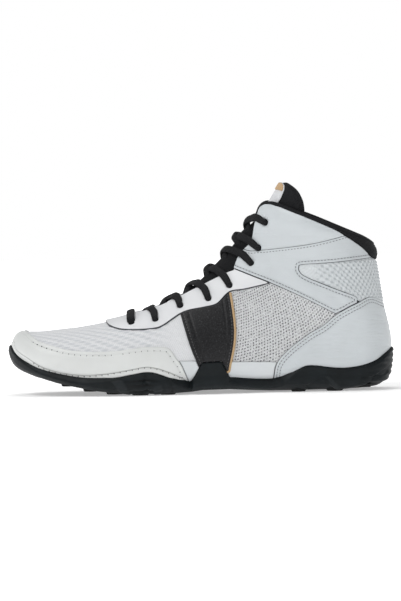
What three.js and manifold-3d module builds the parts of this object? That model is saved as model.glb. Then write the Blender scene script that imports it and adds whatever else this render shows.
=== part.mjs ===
// A mid-height wrestling shoe for the left foot, empty, standing on its sole.
// Millimetres. The toe points to -X, the outer side of the foot to -Y, and the floor is Z = 0.

import * as THREE from "three";
import { mergeVertices } from "three/addons/utils/BufferGeometryUtils.js";
import Module from "manifold-3d";

// Driving sizes of the last
const LENGTH = 285; // outsole from heel to toe
const BALL_WIDTH = 98; // outsole across the ball
const INSTEP_HEIGHT = 86; // floor to the top of the instep
const COLLAR_HEIGHT = 110; // floor to the collar at the back of the heel
const TOE_SPRING = 30; // lift of the toe tip above the seat of the foot

// Driving sizes of the materials
const WALL = 2.4; // upper: mesh, foam and lining together
const OVERLAY = 1; // panels sewn on the upper
const SADDLE = 1.2; // black panel across the waist
const PADDING = 2.6; // padded tab at the back of the collar
const FOXING = 2.2; // rubber up the side of the upper
const SOLE_THICKNESS = 6; // outsole under the ball
const LUG_HEIGHT = 2.2;
const GROOVE_DEPTH = 1.1;
const RIB_HEIGHT = 0.8;
const INSOLE_THICKNESS = 3.5;
const LASTING_MARGIN = 13; // upper turned in under the foot
const TONGUE_THICKNESS = 5;
const TONGUE_HALF_WIDTH = 36;
const LACE_WIDTH = 6.2;
const LACE_THICKNESS = 2.2;
const EYELET_DIAMETER = 5;
const CLEARANCE = 0.3; // between neighbouring pieces

const wasm = await Module();
wasm.setup();

// A table is a list of rows with named columns.
const table = (columns, rows) =>
  rows.map((row) => Object.fromEntries(row.map((value, i) => [columns[i], value])));

// Sections of the last, from the toe tip, along the foot, round the heel and up the shaft.
// Each lies in the plane through its back point (the sole, then the heel line) and its front
// point (the vamp, then the instep line), and is as wide as outer and inner say.
// backX, frontX: share of LENGTH from the middle. spring: share of TOE_SPRING.
// backZ: share of COLLAR_HEIGHT. frontZ: share of INSTEP_HEIGHT.
// outer, inner, middle: share of BALL_WIDTH.
// widest: height of the widest place, as a share of the section.
// edge, flank, crown: fullness at the feather edge, the flank and the top.
// drop: outsole below the section, as a share of SOLE_THICKNESS.
// sink: how far the tongue lies below the surface, as a share of TONGUE_THICKNESS.
const SECTIONS = table(
  ["backX", "backZ", "frontX", "frontZ", "spring", "outer", "inner", "middle",
    "widest", "edge", "flank", "crown", "drop", "sink"],
  [
    [-0.493, 0.066, -0.493, 0.085, 1.0, 0.0, 0.0, 0.112, 0.46, 0.7, 0.55, 0.55, 0.0, 0],
    [-0.491, 0.066, -0.491, 0.182, 0.86, 0.092, 0.082, 0.112, 0.46, 0.7, 0.55, 0.55, 0.13, 0],
    [-0.483, 0.066, -0.485, 0.269, 0.72, 0.173, 0.143, 0.107, 0.44, 0.72, 0.55, 0.55, 0.22, 0],
    [-0.47, 0.066, -0.472, 0.337, 0.61, 0.245, 0.204, 0.097, 0.42, 0.76, 0.55, 0.56, 0.3, 0],
    [-0.449, 0.066, -0.449, 0.392, 0.49, 0.316, 0.265, 0.087, 0.38, 0.8, 0.55, 0.57, 0.35, 0],
    [-0.414, 0.066, -0.414, 0.442, 0.35, 0.383, 0.32, 0.071, 0.35, 0.84, 0.54, 0.58, 0.4, 0],
    [-0.365, 0.066, -0.365, 0.503, 0.22, 0.429, 0.372, 0.056, 0.33, 0.87, 0.52, 0.58, 0.44, 0],
    [-0.309, 0.066, -0.309, 0.56, 0.11, 0.456, 0.413, 0.041, 0.32, 0.89, 0.5, 0.58, 0.52, 0],
    [-0.246, 0.066, -0.246, 0.61, 0.045, 0.474, 0.439, 0.026, 0.3, 0.9, 0.47, 0.57, 0.73, 0],
    [-0.175, 0.066, -0.175, 0.684, 0.0, 0.48, 0.423, 0.015, 0.28, 0.92, 0.43, 0.56, 0.59, 0],
    [-0.098, 0.065, -0.109, 0.774, 0.0, 0.464, 0.372, 0.01, 0.25, 0.92, 0.38, 0.55, 0.57, 0],
    [-0.014, 0.073, -0.042, 0.898, 0.0, 0.439, 0.327, 0.01, 0.23, 0.92, 0.35, 0.54, 0.53, 0],
    [0.077, 0.082, 0.007, 1.0, 0.0, 0.408, 0.301, 0.01, 0.22, 0.92, 0.35, 0.53, 0.5, 0],
    [0.175, 0.084, 0.042, 1.093, 0.0, 0.378, 0.301, 0.01, 0.23, 0.92, 0.36, 0.52, 0.6, 0],
    [0.274, 0.08, 0.07, 1.178, 0.0, 0.352, 0.306, 0.01, 0.26, 0.92, 0.4, 0.5, 0.8, 0.05],
    [0.358, 0.078, 0.088, 1.244, 0.0, 0.332, 0.311, 0.01, 0.28, 0.92, 0.44, 0.5, 1.18, 0.12],
    [0.421, 0.084, 0.1, 1.297, 0.0, 0.321, 0.311, 0.01, 0.3, 0.88, 0.47, 0.5, 1.13, 0.2],
    [0.461, 0.123, 0.109, 1.349, 0.0, 0.321, 0.311, 0.01, 0.31, 0.84, 0.49, 0.5, 1.13, 0.28],
    [0.481, 0.2, 0.116, 1.395, 0.0, 0.327, 0.316, 0.01, 0.32, 0.7, 0.5, 0.5, 0.58, 0.34],
    [0.491, 0.309, 0.123, 1.442, 0.0, 0.332, 0.321, 0.01, 0.33, 0.6, 0.5, 0.5, 0.05, 0.4],
    [0.486, 0.423, 0.13, 1.494, 0.0, 0.337, 0.332, 0.01, 0.35, 0.57, 0.52, 0.5, 0.0, 0.46],
    [0.475, 0.545, 0.137, 1.533, 0.0, 0.342, 0.342, 0.01, 0.38, 0.56, 0.54, 0.5, 0.0, 0.5],
    [0.467, 0.673, 0.146, 1.567, 0.0, 0.347, 0.347, 0.01, 0.41, 0.56, 0.55, 0.5, 0.0, 0.52],
    [0.46, 0.8, 0.153, 1.599, 0.0, 0.347, 0.347, 0.01, 0.43, 0.55, 0.55, 0.5, 0.0, 0.54],
    [0.453, 0.909, 0.16, 1.634, 0.0, 0.342, 0.342, 0.01, 0.45, 0.55, 0.55, 0.5, 0.0, 0.56],
    [0.449, 1.004, 0.167, 1.658, 0.0, 0.337, 0.337, 0.01, 0.46, 0.55, 0.55, 0.5, 0.0, 0.56],
    [0.446, 1.127, 0.191, 1.762, 0.0, 0.337, 0.337, 0.01, 0.46, 0.55, 0.55, 0.5, 0.0, 0.56],
    [0.444, 1.255, 0.211, 1.837, 0.0, 0.337, 0.337, 0.01, 0.46, 0.55, 0.55, 0.5, 0.0, 0.56],
  ],
);
const COLLAR = 25; // section at the top of the upper
const LAST_SECTION = SECTIONS.length - 1;

// Outlines seen from the side. Each point is [section, share of the way from back to front].
const THROAT_EDGE = [
  [9.0, 1.02], [9.4, 0.98], [10.2, 0.953], [11.8, 0.93], [13.25, 0.905], [13.85, 0.89],
  [14.1, 0.915], [15.2, 0.948], [17.4, 0.938], [20.0, 0.955], [22.8, 0.975], [24.2, 0.955],
  [24.97, 0.915], [25.8, 0.84],
];
const SOLE_EDGE = [
  [1.0, 0.42], [2.4, 0.2], [3.8, 0.127], [5.2, 0.06], [6.8, 0.058], [8.0, 0.1], [9.0, 0.17],
  [9.4, 0.187], [9.8, 0.155], [10.5, 0.04], [10.82, 0.005], [11.25, 0.212], [11.86, 0.198],
  [11.97, 0.03], [13.0, 0.0], [13.85, 0.089], [14.4, 0.108], [15.5, 0.08], [17.1, 0.052],
  [18.2, 0.02], [18.9, -0.01],
];
const TOE_CAP_EDGE = [
  [3.82, 1.0], [4.3, 0.83], [5.0, 0.68], [6.2, 0.54], [7.2, 0.505], [8.3, 0.497], [9.4, 0.5],
  [10.1, 0.465], [10.31, 0.41], [10.45, 0.31], [10.6, 0.22], [10.8, 0.0],
];
const EYESTAY_EDGE = [
  [7.95, 1.02], [8.1, 0.93], [8.5, 0.84], [9.1, 0.775], [9.8, 0.72], [10.15, 0.722], [10.7, 0.764],
  [11.1, 0.76], [11.7, 0.73], [12.3, 0.716], [13.05, 0.764], [13.85, 0.737], [15.6, 0.71],
];
const ANKLE_PANEL_EDGE = [[13.9, 0.9], [15.6, 0.71], [16.9, 0.557], [18.0, 0.36]];
const WINDOW_EDGE = [
  [20.0, 0.225], [20.4, 0.24], [19.4, 0.47], [18.8, 0.59], [18.85, 0.63], [19.3, 0.635],
  [19.9, 0.59], [21.8, 0.38], [23.8, 0.0],
];
const COUNTER_EDGE = [
  [21.3, -0.1], [21.3, 0.03], [21.05, 0.115], [20.05, 0.22], [19.2, 0.29], [17.9, 0.358],
  [16.4, 0.37], [15.2, 0.34], [14.0, 0.244], [13.4, 0.137], [13.1, 0.0],
];
const HEEL_TAB_EDGE = [
  [24.8, 0.47], [24.66, 0.31], [24.5, 0.175], [24.24, 0.08], [23.8, 0.033], [23.6, -0.1],
];
const SADDLE_EDGE = [[11.2, 0.1], [10.95, 0.4], [10.67, 0.9], [13.4, 0.9], [12.6, 0.45], [12.0, 0.1]];
const REAR_FOXING_EDGE = [[12.0, -0.1], [11.92, 0.194], [13.18, 0.162], [13.6, 0.15], [13.4, -0.1]];
const FRONT_FOXING_EDGE = [[10.5, 0.275], [11.25, 0.232], [11.25, -0.1], [10.5, -0.1]];

// Eyelets on each side, from the toe up: [section, share]
const EYELETS = [
  [8.93, 0.88], [9.85, 0.82], [10.78, 0.845], [11.98, 0.79], [13.2, 0.81], [15.42, 0.865],
  [17.52, 0.885], [21.25, 0.895],
];

// Rows of lugs under the sole. place: section. size: share of LENGTH. turns: each lug's place
// across, as a turn of the section to the outer (-) or inner side of the middle.
const LUG_ROWS = table(
  ["place", "size", "turns"],
  [
    [6.4, 0.045, [-0.06, 0.06]],
    [7.4, 0.05, [-0.085, 0.0, 0.085]],
    [8.3, 0.052, [-0.09, 0.0, 0.09]],
    [9.2, 0.052, [-0.09, 0.0, 0.09]],
    [10.1, 0.048, [-0.085, 0.085]],
    [13.7, 0.045, [-0.08, 0.08]],
    [14.7, 0.05, [-0.08, 0.08]],
    [15.7, 0.048, [-0.065, 0.065]],
  ],
);

// Grooves cut in the side of the sole and ribs raised on it, as side outlines
const SOLE_GROOVES = [
  [[9.3, 0.155], [9.42, 0.155], [9.5, -0.02], [9.36, -0.02]],
  [[9.62, 0.145], [9.74, 0.13], [9.86, -0.02], [9.72, -0.02]],
  [[9.95, 0.105], [10.07, 0.085], [10.2, -0.03], [10.07, -0.03]],
  [[14.3, 0.075], [14.42, 0.075], [14.85, -0.055], [14.7, -0.055]],
];
const SOLE_RIBS = [
  [[8.2, 0.085], [8.6, 0.105], [8.95, -0.05], [8.75, -0.05]],
  [[15.1, -0.005], [17.9, -0.055], [17.9, -0.075], [15.1, -0.03]],
];

// Shape of the last

const mix = (a, b, t) => a + (b - a) * t;

// Smooth value between sections, by a Catmull-Rom curve. Before the toe tip the section is
// mirrored, so that the surface is round there.
function sectionValue(key, at) {
  const i = Math.min(Math.floor(at), LAST_SECTION - 1);
  const t = at - i;
  const value = (k) => {
    if (k > LAST_SECTION) return 2 * SECTIONS[LAST_SECTION][key] - SECTIONS[LAST_SECTION - 1][key];
    return k < 0 ? MIRRORED[key](SECTIONS[1]) : SECTIONS[k][key];
  };
  const [a, b, c, d] = [value(i - 1), value(i), value(i + 1), value(i + 2)];
  return b + 0.5 * t * (c - a + t * (2 * a - 5 * b + 4 * c - d + t * (3 * (b - c) + d - a)));
}

const MIRRORED = {
  backX: (s) => s.frontX,
  frontX: (s) => s.backX,
  backZ: (s) => s.backZ,
  frontZ: (s) => s.frontZ,
  spring: (s) => s.spring,
  outer: (s) => -s.inner,
  inner: (s) => -s.outer,
  middle: (s) => s.middle,
  widest: (s) => s.widest,
  edge: (s) => s.edge,
  flank: (s) => s.flank,
  crown: (s) => s.crown,
  drop: (s) => -s.drop,
  sink: (s) => s.sink,
};

// The section at any place, in millimetres. With a drop its lower half reaches down to the
// tread, and the rest stays as it is.
function sectionAt(at, lowered = false) {
  const get = (key) => sectionValue(key, at);
  const lift = get("spring") * TOE_SPRING;
  const back = new THREE.Vector2(get("backX") * LENGTH, get("backZ") * COLLAR_HEIGHT + lift);
  const front = new THREE.Vector2(get("frontX") * LENGTH, get("frontZ") * INSTEP_HEIGHT + lift);
  const depth = front.distanceTo(back);
  let widest = get("widest");
  if (lowered) {
    const drop = get("drop") * SOLE_THICKNESS;
    back.addScaledVector(back.clone().sub(front), drop / depth);
    widest = (widest * depth + drop) / (depth + drop);
  }
  return {
    back,
    front,
    outer: Math.max(0, get("outer")) * BALL_WIDTH,
    inner: Math.max(0, get("inner")) * BALL_WIDTH,
    middle: get("middle") * BALL_WIDTH,
    widest,
    edge: get("edge"),
    flank: get("flank"),
    crown: get("crown"),
  };
}

const bezier = (a, b, c, d, t) => {
  const r = 1 - t;
  return a * r * r * r + 3 * b * r * r * t + 3 * c * r * t * t + d * t * t * t;
};

// Half of a section, from the sole (0) past the widest place (0.5) to the crown (1):
// the share of the half width and the share of the way up.
function halfSection(s, along) {
  if (along < 0.5) {
    const t = 2 * along;
    return [bezier(0, s.edge, 1, 1, t), bezier(0, 0, s.widest * (1 - s.edge), s.widest, t)];
  }
  const t = 2 * along - 1;
  const shoulder = mix(s.widest, 1, s.flank);
  return [bezier(1, 1, s.crown, 0, t), bezier(s.widest, shoulder, 1, 1, t)];
}

// A turn goes once round the section: 0 is the sole, 0.25 the inner side, 0.5 the crown and
// 0.75 the outer side.
function lastPoint(s, turn) {
  const round = turn - Math.floor(turn);
  const isInner = round < 0.5;
  const [across, up] = halfSection(s, isInner ? 2 * round : 2 - 2 * round);
  return new THREE.Vector3(
    mix(s.back.x, s.front.x, up),
    s.middle + across * (isInner ? s.inner : -s.outer),
    mix(s.back.y, s.front.y, up),
  );
}

const NUDGE = 0.02; // step in section and turn for a normal
function lastNormal(at, turn, lowered) {
  const place = Math.max(at, 2 * NUDGE);
  const before = sectionAt(place - NUDGE, lowered);
  const after = sectionAt(Math.min(place + NUDGE, LAST_SECTION), lowered);
  const here = sectionAt(place, lowered);
  const along = lastPoint(after, turn).sub(lastPoint(before, turn));
  const round = lastPoint(here, turn + NUDGE).sub(lastPoint(here, turn - NUDGE));
  const normal = along.cross(round).normalize();
  const centre = new THREE.Vector3(
    mix(here.back.x, here.front.x, 0.5),
    here.middle,
    mix(here.back.y, here.front.y, 0.5),
  );
  const outward = lastPoint(here, turn).sub(centre);
  return normal.dot(outward) < 0 ? normal.negate() : normal;
}

function surfacePoint(at, turn, offset = 0, lowered = false) {
  const normal = lastNormal(at, turn, lowered);
  return lastPoint(sectionAt(at, lowered), turn).addScaledVector(normal, offset);
}

// A point of a side outline
function sidePoint([at, share]) {
  const s = sectionAt(at);
  return new THREE.Vector2(mix(s.back.x, s.front.x, share), mix(s.back.y, s.front.y, share));
}

// The turn at which a half section has the given value, found by halving.
const HALVINGS = 24;
function turnWhere(at, isInner, from, to, isPast) {
  const s = sectionAt(at);
  let low = from;
  let high = to;
  for (let i = 0; i < HALVINGS; i++) {
    const mid = (low + high) / 2;
    if (isPast(halfSection(s, mid), s)) high = mid;
    else low = mid;
  }
  return isInner ? low / 2 : 1 - low / 2;
}
const turnAtHeight = (at, share, isInner) =>
  turnWhere(at, isInner, 0, 1, ([, up]) => up > share);
const turnAtWidth = (at, width, isInner) =>
  turnWhere(at, isInner, 0, 0.5, ([across], s) => across * (isInner ? s.inner : s.outer) > width);

// Solids

// A closed surface from a list of points and triangles, facing out.
function solidFrom(points, faces) {
  const corner = faces.map((face) => face.map((i) => points[i]));
  const volume = corner.reduce((sum, [a, b, c]) => sum + a.dot(b.clone().cross(c)), 0);
  const order = volume < 0 ? [0, 2, 1] : [0, 1, 2];
  return new wasm.Manifold(
    new wasm.Mesh({
      numProp: 3,
      vertProperties: new Float32Array(points.flatMap((p) => p.toArray())),
      triVerts: new Uint32Array(faces.flatMap((face) => order.map((k) => face[k]))),
    }),
  );
}

// A three.js geometry as a solid, its shared vertices merged.
function solidOf(geometry) {
  const bare = geometry.clone();
  bare.deleteAttribute("normal");
  bare.deleteAttribute("uv");
  const merged = mergeVertices(bare, 1e-4);
  return new wasm.Manifold(
    new wasm.Mesh({
      numProp: 3,
      vertProperties: new Float32Array(merged.attributes.position.array),
      triVerts: new Uint32Array(merged.index.array),
    }),
  );
}

const TOE_RING = 0.5; // the toe tip is round, so it has a ring more
const stations = (from, to) => {
  const list = [TOE_RING, ...SECTIONS.keys()];
  return [from, ...list.filter((at) => at > from && at < to), to];
};
const FLANK_STEPS = 3;
const CROWN_STEPS = 4;
const TURNS = [];
for (let i = 0; i < FLANK_STEPS; i++) TURNS.push((0.25 * i) / FLANK_STEPS);
for (let i = 0; i <= 2 * CROWN_STEPS; i++) TURNS.push(0.25 + (0.25 * i) / CROWN_STEPS);
for (let i = FLANK_STEPS - 1; i > 0; i--) TURNS.push(1 - (0.25 * i) / FLANK_STEPS);

// The last grown by offset, from the toe to the given section
function last(offset, to = LAST_SECTION, lowered = false) {
  const n = TURNS.length;
  const rings = stations(0, to).slice(1);
  const tip = surfacePoint(0, 0.5, 0, lowered);
  tip.x -= offset;
  const points = [tip];
  for (const at of rings)
    for (const turn of TURNS) points.push(surfacePoint(at, turn, offset, lowered));
  const end = sectionAt(to, lowered);
  points.push(
    new THREE.Vector3((end.back.x + end.front.x) / 2, end.middle, (end.back.y + end.front.y) / 2),
  );
  const faces = [];
  for (let j = 0; j < n; j++) {
    const k = (j + 1) % n;
    faces.push([0, 1 + j, 1 + k]);
    for (let i = 0; i < rings.length - 1; i++) {
      const a = 1 + i * n;
      faces.push([a + j, a + n + j, a + k], [a + k, a + n + j, a + n + k]);
    }
    const lastRing = 1 + (rings.length - 1) * n;
    faces.push([lastRing + j, points.length - 1, lastRing + k]);
  }
  return solidFrom(points, faces);
}

// A sheet that lies in the surface, between two offsets and two turns. Each of sides and
// offsets is a function of the place along the last.
function sheet(places, sides, offsets, steps, rim = 1) {
  const points = [];
  for (const at of places) {
    const [left, right] = sides(at);
    const [low, high] = offsets(at);
    for (let j = 0; j <= steps; j++) {
      const isRim = j === 0 || j === steps;
      const turn = mix(left, right, j / steps);
      points.push(surfacePoint(at, turn, low));
      points.push(surfacePoint(at, turn, isRim ? mix(low, high, rim) : high));
    }
  }
  const faces = [];
  const index = (i, j, layer) => 2 * (i * (steps + 1) + j) + layer;
  const quad = (a, b, c, d) => faces.push([a, b, c], [a, c, d]);
  const rows = places.length - 1;
  for (let i = 0; i < rows; i++) {
    for (let j = 0; j < steps; j++)
      for (const layer of [0, 1]) {
        const ring = [index(i, j, layer), index(i + 1, j, layer),
          index(i + 1, j + 1, layer), index(i, j + 1, layer)];
        quad(...(layer ? ring.reverse() : ring));
      }
    quad(index(i, 0, 1), index(i + 1, 0, 1), index(i + 1, 0, 0), index(i, 0, 0));
    quad(index(i, steps, 0), index(i + 1, steps, 0), index(i + 1, steps, 1), index(i, steps, 1));
  }
  for (let j = 0; j < steps; j++) {
    quad(index(0, j, 0), index(0, j + 1, 0), index(0, j + 1, 1), index(0, j, 1));
    quad(index(rows, j, 1), index(rows, j + 1, 1), index(rows, j + 1, 0), index(rows, j, 0));
  }
  return solidFrom(points, faces);
}

const OUTER = -1;
const INNER = 1;
const BOTH = 0;

// A side outline run through the shoe across its width, or through one side of it.
function through(outline, side = BOTH) {
  const depth = side === BOTH ? 2 * BALL_WIDTH : BALL_WIDTH;
  const geometry = new THREE.ExtrudeGeometry(new THREE.Shape(outline), {
    depth,
    bevelEnabled: false,
  });
  geometry.rotateX(Math.PI / 2);
  geometry.translate(0, side === OUTER ? 0 : depth / (side === BOTH ? 2 : 1), 0);
  return solidOf(geometry);
}

// An outline with each corner moved out by a clearance.
const BLUNTEST = 0.35; // a sharp corner moves no further than clearance / BLUNTEST
function grown(outline, by = CLEARANCE) {
  const turning = THREE.ShapeUtils.area(outline) > 0 ? 1 : -1;
  return outline.map((p, i) => {
    const before = outline[(i + outline.length - 1) % outline.length];
    const after = outline[(i + 1) % outline.length];
    const normalOf = (a, b) => new THREE.Vector2(b.y - a.y, a.x - b.x).normalize();
    const first = normalOf(before, p);
    const bisector = first.clone().add(normalOf(p, after)).normalize();
    const reach = by / Math.max(BLUNTEST, bisector.dot(first));
    return p.clone().addScaledVector(bisector, turning * reach);
  });
}

// A corner well outside the shoe, in shares of LENGTH from the middle and of COLLAR_HEIGHT
const far = (x, z) => new THREE.Vector2(x * LENGTH, z * COLLAR_HEIGHT);

const throatOutline = [...THROAT_EDGE.map(sidePoint), far(0.2, 1.9), far(-0.2, 1.9), far(-0.2, 0.75)];
const soleOutline = [far(-0.7, 0.4), ...SOLE_EDGE.map(sidePoint), far(0.7, 0.31), far(0.7, -0.3),
  far(-0.7, -0.3)];
const toeCapOutline = [...TOE_CAP_EDGE.map(sidePoint), far(0.0, -0.3), far(-0.7, -0.3),
  far(-0.7, 0.9), far(-0.46, 0.9)];
const eyestayOutline = [...EYESTAY_EDGE.map(sidePoint), sidePoint([13.9, 0.9]), sidePoint([14, 1.2]),
  far(-0.1, 1.2), far(-0.24, 0.9)];
const counterOutline = [far(0.7, 0.56), ...COUNTER_EDGE.map(sidePoint), far(0.17, -0.3), far(0.7, -0.3)];
const heelTabOutline = [sidePoint([25.2, 0.5]), ...HEEL_TAB_EDGE.map(sidePoint),
  sidePoint([25.6, -0.1]), sidePoint([25.6, 0.4])];
const anklePanelOutline = [
  ...ANKLE_PANEL_EDGE.map(sidePoint), ...WINDOW_EDGE.map(sidePoint), far(0.6, 0.8), far(0.6, 1.2),
  far(0.2, 1.8), far(0.0, 1.3),
];
const saddleOutline = SADDLE_EDGE.map(sidePoint);
const rearFoxingOutline = REAR_FOXING_EDGE.map(sidePoint);
const frontFoxingOutline = FRONT_FOXING_EDGE.map(sidePoint);

const outside = last(0, COLLAR);
const inside = last(-WALL);
const around = last(CLEARANCE);
const throat = through(throatOutline);

// An overlay lies on the upper with a clearance, and stops at its neighbours.
const OVERLAY_TOP = COLLAR - 0.03; // a hair under the collar's edge
function overlay(outline, neighbours, thickness = OVERLAY, side = BOTH) {
  let piece = last(CLEARANCE + thickness, OVERLAY_TOP)
    .intersect(through(outline, side))
    .subtract(around);
  for (const neighbour of [soleOutline, ...neighbours])
    piece = piece.subtract(through(grown(neighbour)));
  return piece;
}

// The bottom of the upper is open inside the edge that is turned in under the foot.
// least: half width of the opening where the foot is narrow, as a share of the section's.
const BOTTOM = { from: 3.2, to: 16.4, steps: 4, least: 0.2 };
function bottomSides(at) {
  const s = sectionAt(at);
  const turn = (isInner) => {
    const half = isInner ? s.inner : s.outer;
    return turnAtWidth(at, Math.max(BOTTOM.least * half, half - LASTING_MARGIN), isInner);
  };
  return [turn(false) - 1, turn(true)];
}

// An eyelet's hole, through the wall and what is sewn on it
const EYELET_CORNERS = 4;
function eyeletHole([at, share], isInner) {
  const turn = turnAtHeight(at, share, isInner);
  const normal = lastNormal(at, turn);
  const centre = surfacePoint(at, turn);
  const geometry = new THREE.CylinderGeometry(
    EYELET_DIAMETER / 2, EYELET_DIAMETER / 2, 4 * (WALL + OVERLAY), EYELET_CORNERS,
  );
  const up = new THREE.Vector3(0, 1, 0);
  geometry.applyQuaternion(new THREE.Quaternion().setFromUnitVectors(up, normal));
  geometry.translate(centre.x, centre.y, centre.z);
  return solidOf(geometry);
}
const holes = EYELETS.flatMap((place) => [eyeletHole(place, false), eyeletHole(place, true)]);
const pierced = (solid) => holes.reduce((rest, hole) => rest.subtract(hole), solid);

function makeUpper() {
  const opening = sheet(
    stations(BOTTOM.from, BOTTOM.to), bottomSides, () => [-2 * WALL, WALL], BOTTOM.steps,
  );
  return pierced(outside.subtract(inside).subtract(throat).subtract(opening));
}

// The foot bed lies on the turned-in edge of the upper.
const INSOLE = { from: 3, to: 16.5, height: 21 }; // height: a section above all of the foot bed
function makeInsole() {
  const gap = WALL + CLEARANCE;
  const top = [];
  for (const at of stations(INSOLE.from, INSOLE.to)) {
    const s = sectionAt(at);
    const up = s.front.clone().sub(s.back).normalize();
    top.push(s.back.clone().addScaledVector(up, gap + INSOLE_THICKNESS));
  }
  const ends = [
    new THREE.Vector2(LENGTH, top.at(-1).y),
    far(1, -0.3),
    far(-1, -0.3),
    new THREE.Vector2(-LENGTH, top[0].y),
  ];
  return last(-gap, INSOLE.height).intersect(through([...top, ...ends]));
}

// The tongue narrows above its shoulder. taper: how much, and rim: thickness at its side edges,
// as shares.
const TONGUE = { from: 8.5, shoulder: 25.6, steps: 6, taper: 0.5, rim: 0.45 };
function makeTongue() {
  const places = stations(TONGUE.from, LAST_SECTION);
  const half = (at) => {
    const above = Math.max(0, (at - TONGUE.shoulder) / (LAST_SECTION - TONGUE.shoulder));
    const width = TONGUE_HALF_WIDTH * Math.sqrt(1 - TONGUE.taper * above * above);
    const s = sectionAt(at);
    const girth = s.front.distanceTo(s.back) + 2 * (s.outer + s.inner);
    return width / girth;
  };
  const face = (at) => -(WALL + CLEARANCE + sectionValue("sink", at) * TONGUE_THICKNESS);
  const pad = sheet(
    places,
    (at) => [0.5 - half(at), 0.5 + half(at)],
    (at) => [face(at) - TONGUE_THICKNESS, face(at)],
    TONGUE.steps,
    TONGUE.rim,
  );
  return pad.intersect(last(-WALL - CLEARANCE));
}

// A lug stands on the floor where the sole is near it, and follows the toe spring elsewhere.
const FLOOR_REACH = 2.1 * LUG_HEIGHT;
const LUG_ROOT = 2; // inside the sole
const LUG_FOOT = 0.9; // width of a lug's foot, as a share of its root's
const LUG_CORNERS = 6;
function lug(place, turn, size) {
  const up = new THREE.Vector3(0, 1, 0);
  const base = surfacePoint(place, turn, FOXING, true);
  const isOnFloor = base.z < FLOOR_REACH;
  const height = LUG_ROOT + (isOnFloor ? base.z : LUG_HEIGHT);
  const inward = lastNormal(place, turn, true).negate().setY(0).normalize();
  if (isOnFloor) inward.set(0, 0, 1);
  const centre = base.clone().addScaledVector(inward, LUG_ROOT - height / 2);
  const geometry = new THREE.CylinderGeometry(
    size / 2, (LUG_FOOT * size) / 2, height, LUG_CORNERS,
  );
  geometry.applyQuaternion(new THREE.Quaternion().setFromUnitVectors(up, inward));
  geometry.translate(centre.x, centre.y, centre.z);
  return solidOf(geometry);
}

const SOLE_TOP = 22; // a section above all of the sole
function makeOutsole() {
  const region = through(soleOutline);
  let body = last(FOXING, SOLE_TOP, true).intersect(region);
  for (const row of LUG_ROWS)
    for (const turn of row.turns) body = body.add(lug(row.place, turn, row.size * LENGTH));
  const core = last(FOXING - GROOVE_DEPTH, SOLE_TOP, true);
  for (const groove of SOLE_GROOVES)
    body = body.subtract(through(groove.map(sidePoint)).subtract(core));
  const ribbed = last(FOXING + RIB_HEIGHT, SOLE_TOP, true);
  for (const rib of SOLE_RIBS) body = body.add(through(rib.map(sidePoint)).intersect(ribbed));
  return body.subtract(around);
}

// Laces

// A flat strip through the given places, each a point and the way that it faces.
function strip(places) {
  const points = [];
  const half = LACE_WIDTH / 2;
  const thick = LACE_THICKNESS / 2;
  const section = [[half, thick], [-half, thick], [-half, -thick], [half, -thick]];
  const n = section.length;
  places.forEach(({ point, normal }, i) => {
    const next = places[Math.min(i + 1, places.length - 1)].point;
    const previous = places[Math.max(i - 1, 0)].point;
    const along = next.clone().sub(previous).normalize();
    const across = along.clone().cross(normal).normalize();
    const up = across.clone().cross(along).normalize();
    for (const [a, b] of section)
      points.push(point.clone().addScaledVector(across, a).addScaledVector(up, b));
  });
  const faces = [];
  for (let i = 0; i < places.length - 1; i++)
    for (let j = 0; j < n; j++) {
      const k = (j + 1) % n;
      const a = i * n;
      faces.push([a + j, a + n + j, a + k], [a + k, a + n + j, a + n + k]);
    }
  const end = (places.length - 1) * n;
  for (let j = 1; j < n - 1; j++) faces.push([0, j, j + 1], [end, end + j + 1, end + j]);
  return solidFrom(points, faces);
}

const STRAND_STEPS = 5;
const LACE_LIFT = OVERLAY + 3 * CLEARANCE + LACE_THICKNESS / 2; // over the sewn panels
const EDGE_SHARE = 0.95; // edge of the throat
const END_SHARE = 0.975; // a strand ends here, short of the other edge
const LACE_SAG = 0.75; // share of the tongue's hollow that a strand follows
// How far a strand goes towards the next eyelet, and how deep its end is tucked, as shares. The
// throat is narrow at the toe end, so the first strands stay above it.
const ENDS = table(["reach", "tuck"], [[0.55, 0], [0.8, 0.35], [0.85, 1]]);

// A strand from the eyelet on one side over the edge of the throat, across the tongue and down
// beside the other edge.
function strand(start, end, isInner, { reach, tuck }) {
  const from = turnAtHeight(start[0], start[1], isInner);
  const to = turnAtHeight(end[0], END_SHARE, !isInner);
  const places = [];
  for (let i = 0; i <= STRAND_STEPS; i++) {
    const t = i / STRAND_STEPS;
    const at = mix(start[0], end[0], t * reach);
    const turn = mix(from, to, t);
    const edge = turnAtHeight(at, EDGE_SHARE, isInner);
    const aside = Math.min(1, (turn - 0.5) / (edge - 0.5));
    const hollow = sectionValue("sink", at) * TONGUE_THICKNESS * (1 - aside * aside);
    const past = Math.max(0, (0.5 - turn) / (0.5 - to)) ** 2;
    const offset = LACE_LIFT - LACE_SAG * hollow - tuck * past * (OVERLAY + WALL);
    places.push({ point: surfacePoint(at, turn, offset), normal: lastNormal(at, turn) });
  }
  return strip(places);
}

function bar(place) {
  const from = turnAtHeight(place[0], place[1], false);
  const to = turnAtHeight(place[0], place[1], true);
  const places = [];
  for (let i = 0; i <= STRAND_STEPS; i++) {
    const turn = mix(from, to, i / STRAND_STEPS);
    const point = surfacePoint(place[0], turn, LACE_LIFT);
    places.push({ point, normal: lastNormal(place[0], turn) });
  }
  return strip(places);
}

// The shoe

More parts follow.
